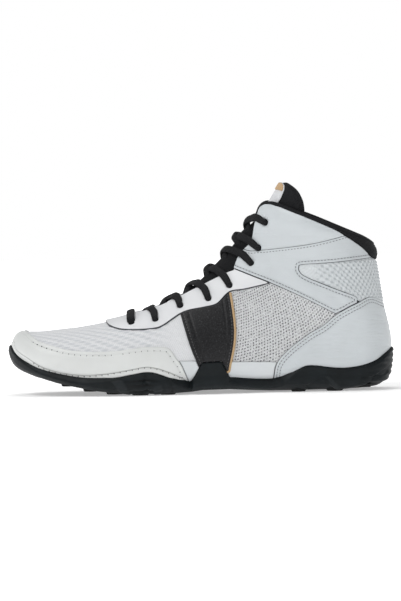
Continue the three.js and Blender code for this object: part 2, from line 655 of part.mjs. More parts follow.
const RUBBER = { color: 0x23282c, roughness: 0.62 };
const WHITE_LEATHER = { color: 0xd6dadd, roughness: 0.5 };
const WHITE_KNIT = { color: 0xdfe2e4, roughness: 0.85 };
const BLACK_LEATHER = { color: 0x1b1c1f, roughness: 0.5 };
const BLACK_PADDING = { color: 0x17181b, roughness: 0.8 };
const BLACK_CORD = { color: 0x121316, roughness: 0.75 };

const shoe = new THREE.Group();

function put(name, solid, finish) {
  const mesh = solid.getMesh();
  const geometry = new THREE.BufferGeometry();
  geometry.setAttribute("position", new THREE.BufferAttribute(mesh.vertProperties, 3));
  geometry.setIndex(new THREE.BufferAttribute(mesh.triVerts, 1));
  geometry.computeVertexNormals();
  const piece = new THREE.Mesh(
    geometry,
    new THREE.MeshStandardMaterial({ metalness: 0, ...finish }),
  );
  piece.name = name;
  shoe.add(piece);
}

put("outsole", makeOutsole(), RUBBER);
put("insole", makeInsole(), BLACK_PADDING);
put("upper", makeUpper(), WHITE_KNIT);
put("tongue", makeTongue(), WHITE_KNIT);
put("toe_cap", overlay(toeCapOutline, []), WHITE_LEATHER);
put("heel_counter", overlay(counterOutline, []), WHITE_LEATHER);
put("heel_tab", overlay(heelTabOutline, [], PADDING), BLACK_PADDING);
put("eyestay", pierced(overlay(eyestayOutline, []).subtract(throat)), WHITE_LEATHER);
for (const [side, name] of [[OUTER, "outer"], [INNER, "inner"]]) {
  const panel = overlay(
    anklePanelOutline, [heelTabOutline, counterOutline, eyestayOutline], OVERLAY, side,
  );
  put("ankle_panel_" + name, pierced(panel.subtract(throat)), WHITE_LEATHER);
  put("saddle_" + name, overlay(saddleOutline, [eyestayOutline], SADDLE, side), BLACK_LEATHER);
  put(
    "rear_foxing_" + name,
    overlay(rearFoxingOutline, [counterOutline, saddleOutline], OVERLAY, side),
    WHITE_LEATHER,
  );
  put(
    "front_foxing_" + name,
    overlay(frontFoxingOutline, [toeCapOutline, saddleOutline], OVERLAY, side),
    WHITE_LEATHER,
  );
}
put("lace_bar", bar(EYELETS[0]), BLACK_CORD);
for (let i = 1; i < EYELETS.length; i++) {
  const ends = ENDS[Math.min(i, ENDS.length) - 1];
  const [first, second] = [false, true].map((isInner) =>
    strand(EYELETS[i], EYELETS[i - 1], isInner, ends),
  );
  put("lace_cross_" + i, first.add(second), BLACK_CORD);
}

export default shoe;
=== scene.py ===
# %% [markdown]
# A wrestling shoe for the left foot.
# The real one is a soft upper of knit and open mesh, covered with thin white leather panels and
# stuck on a thin rubber sole. The frame that is loaded here holds plain solids of all of it.
# This lesson lays fine surfaces over them. Every piece is cut from one smooth surface, the last
# that a shoemaker pulls the upper over, so the pieces fit each other wherever they meet.
# Shapes are worked out in millimetres, and each mesh is turned into metres when it is made.

# %% Load the frame
import math

import bpy
import numpy as np
from mathutils import Matrix, Vector


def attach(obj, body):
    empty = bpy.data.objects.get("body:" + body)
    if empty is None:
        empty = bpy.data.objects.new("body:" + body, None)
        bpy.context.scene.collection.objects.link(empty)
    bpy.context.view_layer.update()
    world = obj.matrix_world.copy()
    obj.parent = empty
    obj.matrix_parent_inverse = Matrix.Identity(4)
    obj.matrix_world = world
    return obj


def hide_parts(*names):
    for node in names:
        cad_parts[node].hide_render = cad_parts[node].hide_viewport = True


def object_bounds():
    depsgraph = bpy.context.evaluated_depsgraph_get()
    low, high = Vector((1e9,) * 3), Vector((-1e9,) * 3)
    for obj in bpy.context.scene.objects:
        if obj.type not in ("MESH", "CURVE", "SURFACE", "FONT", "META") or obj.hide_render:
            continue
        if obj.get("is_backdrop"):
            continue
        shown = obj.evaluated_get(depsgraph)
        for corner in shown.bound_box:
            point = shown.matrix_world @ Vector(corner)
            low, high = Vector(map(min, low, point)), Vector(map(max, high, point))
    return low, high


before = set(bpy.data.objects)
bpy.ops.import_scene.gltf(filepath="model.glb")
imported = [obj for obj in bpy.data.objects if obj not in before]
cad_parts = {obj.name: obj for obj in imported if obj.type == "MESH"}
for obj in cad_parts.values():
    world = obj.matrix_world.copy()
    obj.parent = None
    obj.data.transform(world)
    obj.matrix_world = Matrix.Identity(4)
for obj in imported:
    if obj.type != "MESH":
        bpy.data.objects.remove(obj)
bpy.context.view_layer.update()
MM = 0.001
print("solids in the frame:", len(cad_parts))

# %% [markdown]
# The camera.
# The photo shows the outer side, straight on, through a long lens from a little above the floor,
# and the picture is turned by about a degree. One could match it by hand in the viewport, but a
# long lens makes it simple to work out: at the near side of the shoe a pixel is 0.738 mm, so the
# lens length follows from the distance.

# %% Camera
PHOTO_HEIGHT = 601
MM_PER_PIXEL = 0.738
DISTANCE = 6000
ELEVATION = math.radians(2.2)
ROLL = math.radians(1.1)
AIM = Vector((0, -38, 69.3))

camera_data = bpy.data.cameras.new("camera")
camera = bpy.data.objects.new("camera", camera_data)
bpy.context.collection.objects.link(camera)
back = Vector((0, -math.cos(ELEVATION), math.sin(ELEVATION)))
camera.location = (AIM + back * DISTANCE) * MM
turned = (-back).to_track_quat("-Z", "Y").to_matrix() @ Matrix.Rotation(-ROLL, 3, "Z")
camera.rotation_euler = turned.to_euler()
camera_data.sensor_width = 36
camera_data.lens = camera_data.sensor_width * DISTANCE / (PHOTO_HEIGHT * MM_PER_PIXEL)
camera_data.clip_end = 40
bpy.context.scene.camera = camera
print("lens", round(camera_data.lens), "mm")

# %% [markdown]
# The last.
# A last is a foot-shaped block. A subdivision cage could be pulled to its shape, but a table of
# sections is easier to read and to change: each row is one slice, from the toe tip, along the
# foot, round the heel and up the shaft. The columns are shares of the named sizes, as in the
# solids of the frame, so what is built here lies on them without any fitting.

# %% Sizes and sections
LENGTH = 285
BALL_WIDTH = 98
INSTEP_HEIGHT = 86
COLLAR_HEIGHT = 110
TOE_SPRING = 30
WALL = 2.4
OVERLAY = 1.3
SADDLE = 1.5
PADDING = 2.9
FOXING = 2.2
SOLE_THICKNESS = 6
INSOLE_THICKNESS = 3.5
TONGUE_THICKNESS = 5
TONGUE_HALF_WIDTH = 36
CLEARANCE = 0.3

COLUMNS = ("backX", "backZ", "frontX", "frontZ", "spring", "outer", "inner", "middle",
           "widest", "edge", "flank", "crown", "drop", "sink")
SECTIONS = np.array([
    [-0.493, 0.066, -0.493, 0.085, 1.0, 0.0, 0.0, 0.112, 0.46, 0.7, 0.55, 0.55, 0.0, 0],
    [-0.491, 0.066, -0.491, 0.182, 0.86, 0.092, 0.082, 0.112, 0.46, 0.7, 0.55, 0.55, 0.13, 0],
    [-0.483, 0.066, -0.485, 0.269, 0.72, 0.173, 0.143, 0.107, 0.44, 0.72, 0.55, 0.55, 0.22, 0],
    [-0.47, 0.066, -0.472, 0.337, 0.61, 0.245, 0.204, 0.097, 0.42, 0.76, 0.55, 0.56, 0.3, 0],
    [-0.449, 0.066, -0.449, 0.392, 0.49, 0.316, 0.265, 0.087, 0.38, 0.8, 0.55, 0.57, 0.35, 0],
    [-0.414, 0.066, -0.414, 0.442, 0.35, 0.383, 0.32, 0.071, 0.35, 0.84, 0.54, 0.58, 0.4, 0],
    [-0.365, 0.066, -0.365, 0.503, 0.22, 0.429, 0.372, 0.056, 0.33, 0.87, 0.52, 0.58, 0.44, 0],
    [-0.309, 0.066, -0.309, 0.56, 0.11, 0.456, 0.413, 0.041, 0.32, 0.89, 0.5, 0.58, 0.52, 0],
    [-0.246, 0.066, -0.246, 0.61, 0.045, 0.474, 0.439, 0.026, 0.3, 0.9, 0.47, 0.57, 0.73, 0],
    [-0.175, 0.066, -0.175, 0.684, 0.0, 0.48, 0.423, 0.015, 0.28, 0.92, 0.43, 0.56, 0.59, 0],
    [-0.098, 0.065, -0.109, 0.774, 0.0, 0.464, 0.372, 0.01, 0.25, 0.92, 0.38, 0.55, 0.57, 0],
    [-0.014, 0.073, -0.042, 0.898, 0.0, 0.439, 0.327, 0.01, 0.23, 0.92, 0.35, 0.54, 0.53, 0],
    [0.077, 0.082, 0.007, 1.0, 0.0, 0.408, 0.301, 0.01, 0.22, 0.92, 0.35, 0.53, 0.5, 0],
    [0.175, 0.084, 0.042, 1.093, 0.0, 0.378, 0.301, 0.01, 0.23, 0.92, 0.36, 0.52, 0.6, 0],
    [0.274, 0.08, 0.07, 1.178, 0.0, 0.352, 0.306, 0.01, 0.26, 0.92, 0.4, 0.5, 0.8, 0.05],
    [0.358, 0.078, 0.088, 1.244, 0.0, 0.332, 0.311, 0.01, 0.28, 0.92, 0.44, 0.5, 1.18, 0.12],
    [0.421, 0.084, 0.1, 1.297, 0.0, 0.321, 0.311, 0.01, 0.3, 0.88, 0.47, 0.5, 1.13, 0.2],
    [0.461, 0.123, 0.109, 1.349, 0.0, 0.321, 0.311, 0.01, 0.31, 0.84, 0.49, 0.5, 1.13, 0.28],
    [0.481, 0.2, 0.116, 1.395, 0.0, 0.327, 0.316, 0.01, 0.32, 0.7, 0.5, 0.5, 0.58, 0.34],
    [0.491, 0.309, 0.123, 1.442, 0.0, 0.332, 0.321, 0.01, 0.33, 0.6, 0.5, 0.5, 0.05, 0.4],
    [0.486, 0.423, 0.13, 1.494, 0.0, 0.337, 0.332, 0.01, 0.35, 0.57, 0.52, 0.5, 0.0, 0.46],
    [0.475, 0.545, 0.137, 1.533, 0.0, 0.342, 0.342, 0.01, 0.38, 0.56, 0.54, 0.5, 0.0, 0.5],
    [0.467, 0.673, 0.146, 1.567, 0.0, 0.347, 0.347, 0.01, 0.41, 0.56, 0.55, 0.5, 0.0, 0.52],
    [0.46, 0.8, 0.153, 1.599, 0.0, 0.347, 0.347, 0.01, 0.43, 0.55, 0.55, 0.5, 0.0, 0.54],
    [0.453, 0.909, 0.16, 1.634, 0.0, 0.342, 0.342, 0.01, 0.45, 0.55, 0.55, 0.5, 0.0, 0.56],
    [0.449, 1.004, 0.167, 1.658, 0.0, 0.337, 0.337, 0.01, 0.46, 0.55, 0.55, 0.5, 0.0, 0.56],
    [0.446, 1.127, 0.191, 1.762, 0.0, 0.337, 0.337, 0.01, 0.46, 0.55, 0.55, 0.5, 0.0, 0.56],
    [0.444, 1.255, 0.211, 1.837, 0.0, 0.337, 0.337, 0.01, 0.46, 0.55, 0.55, 0.5, 0.0, 0.56],
])
COLLAR = 25
LAST_SECTION = len(SECTIONS) - 1
print("sections:", len(SECTIONS), "of", len(COLUMNS), "columns")

# %% [markdown]
# From the table to a surface.
# A Catmull-Rom curve joins the rows, and before the toe tip the next section is mirrored so that
# the toe is round. Round each section a turn goes from 0 at the sole, past 0.25 on the inner
# side and 0.5 at the crown, to 0.75 on the outer side. Blender's own NURBS would also join
# sections, but here every point has an address, a section and a turn, and that is what the
# pieces are cut by.

# %% The surface
PHANTOM = {"backX": ("frontX", 1), "frontX": ("backX", 1), "outer": ("inner", -1),
           "inner": ("outer", -1), "drop": ("drop", -1)}
PADDED = {}
for number, key in enumerate(COLUMNS):
    twin, sign = PHANTOM.get(key, (key, 1))
    before = sign * SECTIONS[1, COLUMNS.index(twin)]
    values = SECTIONS[:, number]
    PADDED[key] = np.concatenate([[before], values, [2 * values[-1] - values[-2]]])


def mix(a, b, t):
    return a + (b - a) * t


def value_at(key, at):
    i = np.clip(np.floor(at).astype(int), 0, LAST_SECTION - 1)
    t = at - i
    a, b, c, d = (PADDED[key][i + k] for k in range(4))
    return b + 0.5 * t * (c - a + t * (2 * a - 5 * b + 4 * c - d + t * (3 * (b - c) + d - a)))


def section(at, lowered=False):
    """One slice of the last in millimetres. It is deeper by the sole where it is lowered."""
    at = np.asarray(at, float)
    s = {key: value_at(key, at) for key in COLUMNS}
    lift = s["spring"] * TOE_SPRING
    back_point = np.stack([s["backX"] * LENGTH, s["backZ"] * COLLAR_HEIGHT + lift], -1)
    front_point = np.stack([s["frontX"] * LENGTH, s["frontZ"] * INSTEP_HEIGHT + lift], -1)
    if lowered:
        drop = s["drop"] * SOLE_THICKNESS
        depth = np.linalg.norm(front_point - back_point, axis=-1)
        back_point = back_point + (back_point - front_point) * (drop / depth)[..., None]
        s["widest"] = (s["widest"] * depth + drop) / (depth + drop)
    s["back"] = back_point
    s["front"] = front_point
    for key in ("outer", "inner", "middle"):
        s[key] = np.maximum(0, s[key]) * BALL_WIDTH
    return s


def bezier(a, b, c, d, t):
    r = 1 - t
    return a * r**3 + 3 * b * r * r * t + 3 * c * r * t * t + d * t**3


def half_section(s, along):
    t = np.where(along < 0.5, 2 * along, 2 * along - 1)
    widest, edge = s["widest"], s["edge"]
    low = bezier(0, edge, 1, 1, t), bezier(0, 0, widest * (1 - edge), widest, t)
    high = (bezier(1, 1, s["crown"], 0, t),
            bezier(widest, mix(widest, 1, s["flank"]), 1, 1, t))
    return np.where(along < 0.5, low[0], high[0]), np.where(along < 0.5, low[1], high[1])


def last_point(at, turn, lowered=False):
    s = section(at, lowered)
    turn = np.asarray(turn, float) % 1
    is_inner = turn < 0.5
    across, up = half_section(s, np.where(is_inner, 2 * turn, 2 - 2 * turn))
    side = mix(s["back"], s["front"], up[..., None])
    y = s["middle"] + across * np.where(is_inner, s["inner"], -s["outer"])
    return np.stack([side[..., 0], y, side[..., 1]], -1)


NUDGE = 0.02
HALVINGS = 24


def last_normal(at, turn, lowered=False):
    place = np.maximum(at, 2 * NUDGE)
    ahead = last_point(np.minimum(place + NUDGE, LAST_SECTION), turn, lowered)
    along = ahead - last_point(place - NUDGE, turn, lowered)
    round_ = last_point(place, turn + NUDGE, lowered) - last_point(place, turn - NUDGE, lowered)
    normal = np.cross(along, round_)
    normal /= np.linalg.norm(normal, axis=-1, keepdims=True)
    s = section(place, lowered)
    middle = mix(s["back"], s["front"], 0.5)
    centre = np.stack([middle[..., 0], s["middle"], middle[..., 1]], -1)
    outward = last_point(place, turn, lowered) - centre
    normal *= np.where((normal * outward).sum(-1, keepdims=True) < 0, -1, 1)
    normal[np.asarray(at) <= 0] = (-1, 0, 0)
    return normal


def skin(at, turn, offset=0.0, lowered=False):
    """Places on the last, or off it by an offset."""
    lift = np.broadcast_to(np.asarray(offset, float), np.shape(at))[..., None]
    return last_point(at, turn, lowered) + last_normal(at, turn, lowered) * lift


def side_points(outline):
    """The side view, x and z, of places given as [section, share from back to front]."""
    outline = np.asarray(outline, float)
    s = section(outline[:, 0])
    return mix(s["back"], s["front"], outline[:, 1:2])


def turn_at(at, share, is_inner):
    """The turn where the side view of a section is at a share of the way from back to front."""
    at = np.asarray(at, float)
    s = section(at)
    low = np.zeros(at.shape)
    high = np.ones(at.shape)
    for _ in range(HALVINGS):
        middle = (low + high) / 2
        past = half_section(s, middle)[1] > share
        high = np.where(past, middle, high)
        low = np.where(past, low, middle)
    return low / 2 if is_inner else 1 - low / 2


print("toe tip at", last_point(np.array([0.0]), np.array([0.5])).round(1))

# %% [markdown]
# The outlines of the panels.
# A pattern maker draws each panel flat, seen from the side. So each outline here is a short list
# of places, [section, share of the way from back to front], and a curve is run through them. A
# point where the line turns sharply stays a corner. Corners far outside the shoe close each
# outline, and cost nothing, because only what lies on the last is cut. The edge of the collar
# is lower and rounder at the very back, so it has a short list of its own.

# %% Outlines
SHARP = math.radians(50)
CURVE_STEPS = 5


def curve(points):
    points = np.asarray(points, float)
    result = []
    for i in range(len(points) - 1):
        b, c = points[i], points[i + 1]
        a = points[i - 1] if i > 0 else 2 * b - c
        d = points[i + 2] if i + 2 < len(points) else 2 * c - b
        a = 2 * b - c if bend(a, b, c) > SHARP else a
        d = 2 * c - b if bend(b, c, d) > SHARP else d
        for t in np.arange(CURVE_STEPS) / CURVE_STEPS:
            inner_part = 2 * a - 5 * b + 4 * c - d + t * (3 * (b - c) + d - a)
            result.append(b + 0.5 * t * (c - a + t * inner_part))
    return np.array(result + [points[-1]])


def bend(a, b, c):
    first, second = b - a, c - b
    cosine = first @ second / (np.linalg.norm(first) * np.linalg.norm(second) + 1e-9)
    return math.acos(max(-1, min(1, cosine)))


def far(x, z):
    return np.array([[x * LENGTH, z * COLLAR_HEIGHT]])


THROAT = np.concatenate([curve(side_points([
    [9.0, 1.02], [9.4, 0.98], [10.2, 0.953], [11.8, 0.93], [13.25, 0.905], [13.85, 0.89],
    [14.1, 0.915], [15.2, 0.948], [17.4, 0.938], [20.0, 0.955], [22.8, 0.975], [24.2, 0.955],
    [24.97, 0.915], [25.8, 0.84]])), far(0.2, 1.9), far(-0.2, 1.9), far(-0.2, 0.75)])
COLLAR_SHARES = [-0.4, 0.0, 0.03, 0.08, 0.25, 0.5, 1.4]
COLLAR_SECTIONS = [24.66, 24.7, 24.79, 24.86, 24.88, 24.94, 24.97]
BELOW_COLLAR = np.concatenate([side_points(np.transpose([COLLAR_SECTIONS, COLLAR_SHARES])),
                               far(-0.7, 1.0), far(-0.7, -0.5), far(0.7, -0.5)])
SOLE = np.concatenate([far(-0.7, 0.4), curve(side_points([
    [1.0, 0.42], [2.4, 0.2], [3.8, 0.127], [5.2, 0.06], [6.8, 0.058], [8.0, 0.1], [9.0, 0.17],
    [9.4, 0.187], [9.8, 0.155], [10.5, 0.04], [10.82, 0.005], [11.25, 0.212], [11.86, 0.198],
    [11.97, 0.03], [13.13, -0.006], [13.9, 0.084], [14.4, 0.113], [15.5, 0.08], [17.1, 0.052],
    [18.2, 0.02], [18.9, -0.01]])), far(0.7, 0.31), far(0.7, -0.3), far(-0.7, -0.3)])
TOE_CAP = np.concatenate([curve(side_points([
    [3.82, 1.0], [4.3, 0.85], [5.0, 0.715], [6.2, 0.585], [7.2, 0.545], [8.3, 0.53], [9.4, 0.52],
    [10.1, 0.465], [10.31, 0.41], [10.45, 0.31], [10.6, 0.22], [10.8, 0.0]])),
    far(0.0, -0.3), far(-0.7, -0.3), far(-0.7, 0.9), far(-0.46, 0.9)])
EYESTAY = np.concatenate([curve(side_points([
    [7.95, 1.02], [8.1, 0.93], [8.5, 0.84], [9.1, 0.775], [9.8, 0.72], [10.15, 0.722],
    [10.7, 0.764], [11.1, 0.76], [11.7, 0.73], [12.3, 0.716], [13.05, 0.764], [13.85, 0.737],
    [15.6, 0.71]])), side_points([[13.9, 0.9], [14, 1.2]]), far(-0.1, 1.2), far(-0.24, 0.9)])
WINDOW_EDGE = [[20.4, 0.24], [19.4, 0.47], [18.8, 0.59], [18.85, 0.63], [19.3, 0.635],
               [19.9, 0.59], [21.8, 0.38], [23.8, 0.0]]
ANKLE_PANEL = np.concatenate([
    curve(side_points([[13.9, 0.9], [15.6, 0.71], [16.9, 0.557], [18.0, 0.36]])),
    curve(side_points([[20.0, 0.225]] + WINDOW_EDGE)), far(0.6, 0.8), far(0.6, 1.2),
    far(0.2, 1.8), far(0.0, 1.3)])
WINDOW = np.concatenate([curve(side_points(WINDOW_EDGE)), far(0.6, 0.79), far(0.6, 0.3)])
COUNTER = np.concatenate([far(0.7, 0.56), curve(side_points([
    [21.3, -0.1], [21.3, 0.03], [21.05, 0.115], [20.05, 0.22], [19.2, 0.29], [17.9, 0.358],
    [16.4, 0.37], [15.2, 0.34], [14.0, 0.244], [13.4, 0.137], [13.1, 0.0]])),
    far(0.17, -0.3), far(0.7, -0.3)])
HEEL_TAB = np.concatenate([side_points([[25.4, 0.72]]), curve(side_points([
    [24.97, 0.66], [24.78, 0.353], [24.58, 0.262], [24.37, 0.184], [24.16, 0.116], [23.9, 0.067],
    [23.69, 0.036], [23.5, -0.1]])), side_points([[25.6, -0.1], [25.6, 0.4]])])
SADDLE_PANEL = curve(side_points([
    [11.2, 0.1], [10.95, 0.4], [10.67, 0.9], [13.4, 0.9], [12.6, 0.45], [12.0, 0.1], [11.2, 0.1]]))
REAR_FOXING = side_points([[12.0, -0.1], [11.92, 0.194], [13.18, 0.162], [13.6, 0.15],
                           [13.4, -0.1]])
FRONT_FOXING = side_points([[10.5, 0.275], [11.25, 0.232], [11.25, -0.1], [10.5, -0.1]])
EYELETS = [[8.93, 0.88], [9.85, 0.82], [10.78, 0.845], [11.98, 0.79], [13.2, 0.81],
           [15.42, 0.865], [17.52, 0.885], [21.25, 0.895]]
EYELET_RADIUS = 2.3
eyelet_centres = np.concatenate([
    skin(np.array([a]), turn_at([a], share, is_inner))
    for a, share in EYELETS for is_inner in (False, True)])
print("eyelets:", len(eyelet_centres))

# %% [markdown]
# Patches.
# A patch is a fine net of triangles on the last, where each corner keeps its section and turn.
# Cutting such a net with Blender's Boolean modifier would be slow, and would leave ragged rows.
# Here each corner gets a depth: how far it lies inside the outline, measured on the surface.
# Four nets keep all the pieces under a million triangles: the finest where a relief is pressed
# in, and coarser ones for smooth panels, for plain cloth and for what hardly shows.

# %% Patches
GIRTH = 300
LOOKUP_ROWS = 1500
RELIEF_NET = 0.76
PANEL_NET = 1.2
PLAIN_NET = 1.8
HIDDEN_NET = 3.0


def run_along(points):
    """The length of a line of points up to each of them."""
    return np.concatenate([[0], np.cumsum(np.linalg.norm(np.diff(points, axis=0), axis=1))])


def rows_between(first, last, step):
    fine = np.linspace(first, last, LOOKUP_ROWS)
    s = section(fine)
    gaps = [np.linalg.norm(np.diff(s[key], axis=0), axis=1) for key in ("back", "front")]
    run = np.concatenate([[0], np.cumsum(np.maximum(*gaps))])
    count = max(3, round(run[-1] / step) + 1)
    return np.interp(np.linspace(0, run[-1], count), run, fine)


def grid_faces(rows, columns, is_closed=False):
    index = np.arange(rows * columns).reshape(rows, columns)
    here = index if is_closed else index[:, :-1]
    beside = np.roll(index, -1, axis=1) if is_closed else index[:, 1:]
    a, b, c, d = here[:-1], beside[:-1], beside[1:], here[1:]
    return np.concatenate([np.stack([a, b, c], -1).reshape(-1, 3),
                           np.stack([a, c, d], -1).reshape(-1, 3)])


def patch(first, last, start, end, step):
    """A net between two sections and two turns, with millimetres along the foot and around it."""
    at = rows_between(first, last, step)
    turn = np.linspace(start, end, round((end - start) * GIRTH / step) + 1)
    at, turn = np.meshgrid(at, turn, indexing="ij")
    points = last_point(at, turn)
    steps = np.linalg.norm(np.diff(points, axis=1), axis=2)
    around = np.concatenate([np.zeros((len(at), 1)), np.cumsum(steps, axis=1)], axis=1)
    crown = np.abs(turn[0] - 0.5).argmin()
    around -= around[:, crown:crown + 1]
    run = run_along((points[:, crown] + points[:, 0]) / 2)
    along = np.repeat(run[:, None], at.shape[1], axis=1)
    return {"at": at.ravel(), "turn": turn.ravel(), "around": around.ravel(),
            "along": along.ravel(), "tris": grid_faces(*at.shape)}


print("rows from toe to collar, 1 mm apart:", len(rows_between(0, COLLAR, 1)))

# %% [markdown]
# Cuts.
# Where the depth of a patch passes through a level, its triangles are split along that line, so
# an edge is smooth, and further rings of corners can be laid next to it for a rolled edge or a
# seam. A triangle gives three, or two where the line runs through one of its corners. All that a
# patch knows of its corners is worked out for the new ones too.

# %% Cuts
SNAP = 0.06


def cut(p, key, level):
    """Splits the triangles of a patch where one of its fields passes through a level."""
    value = p[key] - level
    value[np.abs(value) < SNAP] = 0
    p[key] = value + level
    tris = p["tris"]
    sign = np.sign(value)[tris]
    crossed = (sign.min(1) < 0) & (sign.max(1) > 0)
    t, s = tris[crossed], sign[crossed]
    lone = (s == -s.sum(1)[:, None]).argmax(1)
    a, b, c = np.take_along_axis(t, (lone[:, None] + np.arange(3)) % 3, 1).T
    through_corner = (s == 0).any(1)
    whole = ~through_corner
    edges = np.concatenate([np.stack([a, b], 1)[whole], np.stack([a, c], 1)[whole],
                            np.stack([b, c], 1)[through_corner]])
    pairs, which = np.unique(np.sort(edges, 1), axis=0, return_inverse=True)
    i, j = pairs.T
    share = value[i] / (value[i] - value[j]) if len(pairs) else np.zeros(0)
    for name in [k for k in p if k != "tris"]:
        p[name] = np.concatenate([p[name], mix(p[name][i], p[name][j], share)])
    new = len(value) + which.ravel()
    count = whole.sum()
    ab, ac, bc = new[:count], new[count:2 * count], new[2 * count:]
    aw, bw, cw = a[whole], b[whole], c[whole]
    az, bz, cz = a[through_corner], b[through_corner], c[through_corner]
    p["tris"] = np.concatenate([
        tris[~crossed], np.stack([aw, ab, ac], 1), np.stack([ab, bw, cw], 1),
        np.stack([ab, cw, ac], 1), np.stack([az, bz, bc], 1), np.stack([az, bc, cz], 1)])


def keep(p, faces):
    used, which = np.unique(p["tris"][faces], return_inverse=True)
    kept = {name: p[name][used] for name in p if name != "tris"}
    kept["tris"] = which.reshape(-1, 3)
    return kept


def part_above(p, key):
    """The part of a patch where a field is above 0."""
    return keep(p, p[key][p["tris"]].mean(1) > 0)


print("corners within", SNAP, "mm of a cut are moved onto it")

# %% [markdown]
# Depth inside an outline.
# The outline is flat, but the panel is curved. Near the crown a millimetre in the side view is
# several on the leather, so the flat distance is divided by how steeply the surface meets it.

# %% Depth
FLATTEST = 0.25


def distance_to(points, normals, line, is_closed):
    x, z = points[:, 0], points[:, 2]
    best = np.full(len(x), np.inf)
    reach_x = np.zeros(len(x))
    reach_z = np.zeros(len(x))
    inside = np.zeros(len(x), bool)
    ends = np.roll(line, -1, axis=0) if is_closed else line[1:]
    for (ax, az), (bx, bz) in zip(line, ends):
        dx, dz = bx - ax, bz - az
        t = np.clip(((x - ax) * dx + (z - az) * dz) / (dx * dx + dz * dz + 1e-12), 0, 1)
        ex, ez = x - ax - t * dx, z - az - t * dz
        distance = np.hypot(ex, ez)
        nearer = distance < best
        best = np.where(nearer, distance, best)
        reach_x = np.where(nearer, ex, reach_x)
        reach_z = np.where(nearer, ez, reach_z)
        if dz:
            inside ^= ((az > z) != (bz > z)) & (x < ax + (z - az) * dx / dz)
    tilt = (reach_x * normals[:, 0] + reach_z * normals[:, 2]) / np.maximum(best, 1e-6)
    best = best / np.maximum(np.sqrt(np.maximum(0, 1 - tilt**2)), FLATTEST)
    return np.where(inside, best, -best) if is_closed else best


def measure(p, inside=(), outside=(), holes=False, gap=0.15, lowered=False):
    """How deep each corner lies inside some outlines, outside others and clear of the eyelets."""
    points = last_point(p["at"], p["turn"], lowered)
    normals = last_normal(p["at"], p["turn"], lowered)
    fields = [distance_to(points, normals, line, True) for line in inside]
    fields += [-distance_to(points, normals, line, True) - gap for line in outside]
    if holes:
        fields += [np.linalg.norm(points - centre, axis=1) - EYELET_RADIUS
                   for centre in eyelet_centres]
    return np.min(fields, axis=0)


def trace(p, key, level):
    """The lines on a patch where a field has a level, as lists of [section, turn]."""
    value = p[key] - level
    value = np.where(value == 0, 1e-6, value)
    tris = p["tris"]
    links = {}
    for tri in tris[(value[tris].min(1) < 0) & (value[tris].max(1) > 0)]:
        ends = [tuple(sorted((tri[k], tri[(k + 1) % 3]))) for k in range(3)
                if value[tri[k]] * value[tri[(k + 1) % 3]] < 0]
        links.setdefault(ends[0], []).append(ends[1])
        links.setdefault(ends[1], []).append(ends[0])

    def place(edge):
        i, j = edge
        share = value[i] / (value[i] - value[j])
        return [mix(p[name][i], p[name][j], share) for name in ("at", "turn")]

    paths = []
    left = set(links)
    starts = [edge for edge in links if len(links[edge]) == 1]
    while left:
        edge = next((e for e in starts if e in left), None) or next(iter(left))
        path = []
        while edge is not None:
            left.discard(edge)
            path.append(place(edge))
            edge = next((e for e in links[edge] if e in left), None)
        paths.append(np.array(path))
    return [path for path in paths if len(path) > 3]


def panel_patch(area, inside, outside=(), holes=False, gap=0.15, step=PANEL_NET,
                rings=(0.3, 0.9), lowered=False, more=0.0):
    """A patch cut to its outlines, with rings of corners beside the edge for its roll."""
    p = patch(*area, step)
    p["depth"] = measure(p, inside, outside, holes, gap, lowered) + more
    for level in (0, *rings):
        cut(p, "depth", level)
    return part_above(p, "depth")


print("the sole's outline has", len(SOLE), "points")

# %% [markdown]
# From a patch to a piece.
# Leather has a thickness, so each patch becomes a closed shell: its top, its underside and a rim
# between them. The section and turn of each corner are kept as a UV map in millimetres, along
# the foot and around it, which lets a weave follow the shoe. The mesh also keeps each corner's
# depth as an attribute, so a material can be darker or more worn near an edge.

# %% Making pieces
SMOOTH_ANGLE = math.radians(42)


def shell(p, high, low, high_lowered=False):
    top = skin(p["at"], p["turn"], high, high_lowered)
    bottom = skin(p["at"], p["turn"], low)
    return closed(p["tris"], top, bottom)


def closed(tris, top, bottom):
    """Two faces of one net, joined by a rim along every open edge."""
    count = len(top)
    edges = np.concatenate([tris[:, [0, 1]], tris[:, [1, 2]], tris[:, [2, 0]]])
    code = edges[:, 0].astype(np.int64) * count + edges[:, 1]
    opposite = edges[:, 1].astype(np.int64) * count + edges[:, 0]
    a, b = edges[~np.isin(code, opposite)].T
    rim = np.concatenate([np.stack([b, a, a + count], 1), np.stack([b, a + count, b + count], 1)])
    return np.concatenate([top, bottom]), np.concatenate([tris, tris[:, ::-1] + count, rim])


def merged(points, tris):
    """Corners that share one place become one, and triangles without an area go."""
    _, first, which = np.unique(points.round(4), axis=0, return_index=True, return_inverse=True)
    tris = first[which.ravel()][tris]
    a, b, c = tris.T
    return tris[(a != b) & (b != c) & (c != a)]


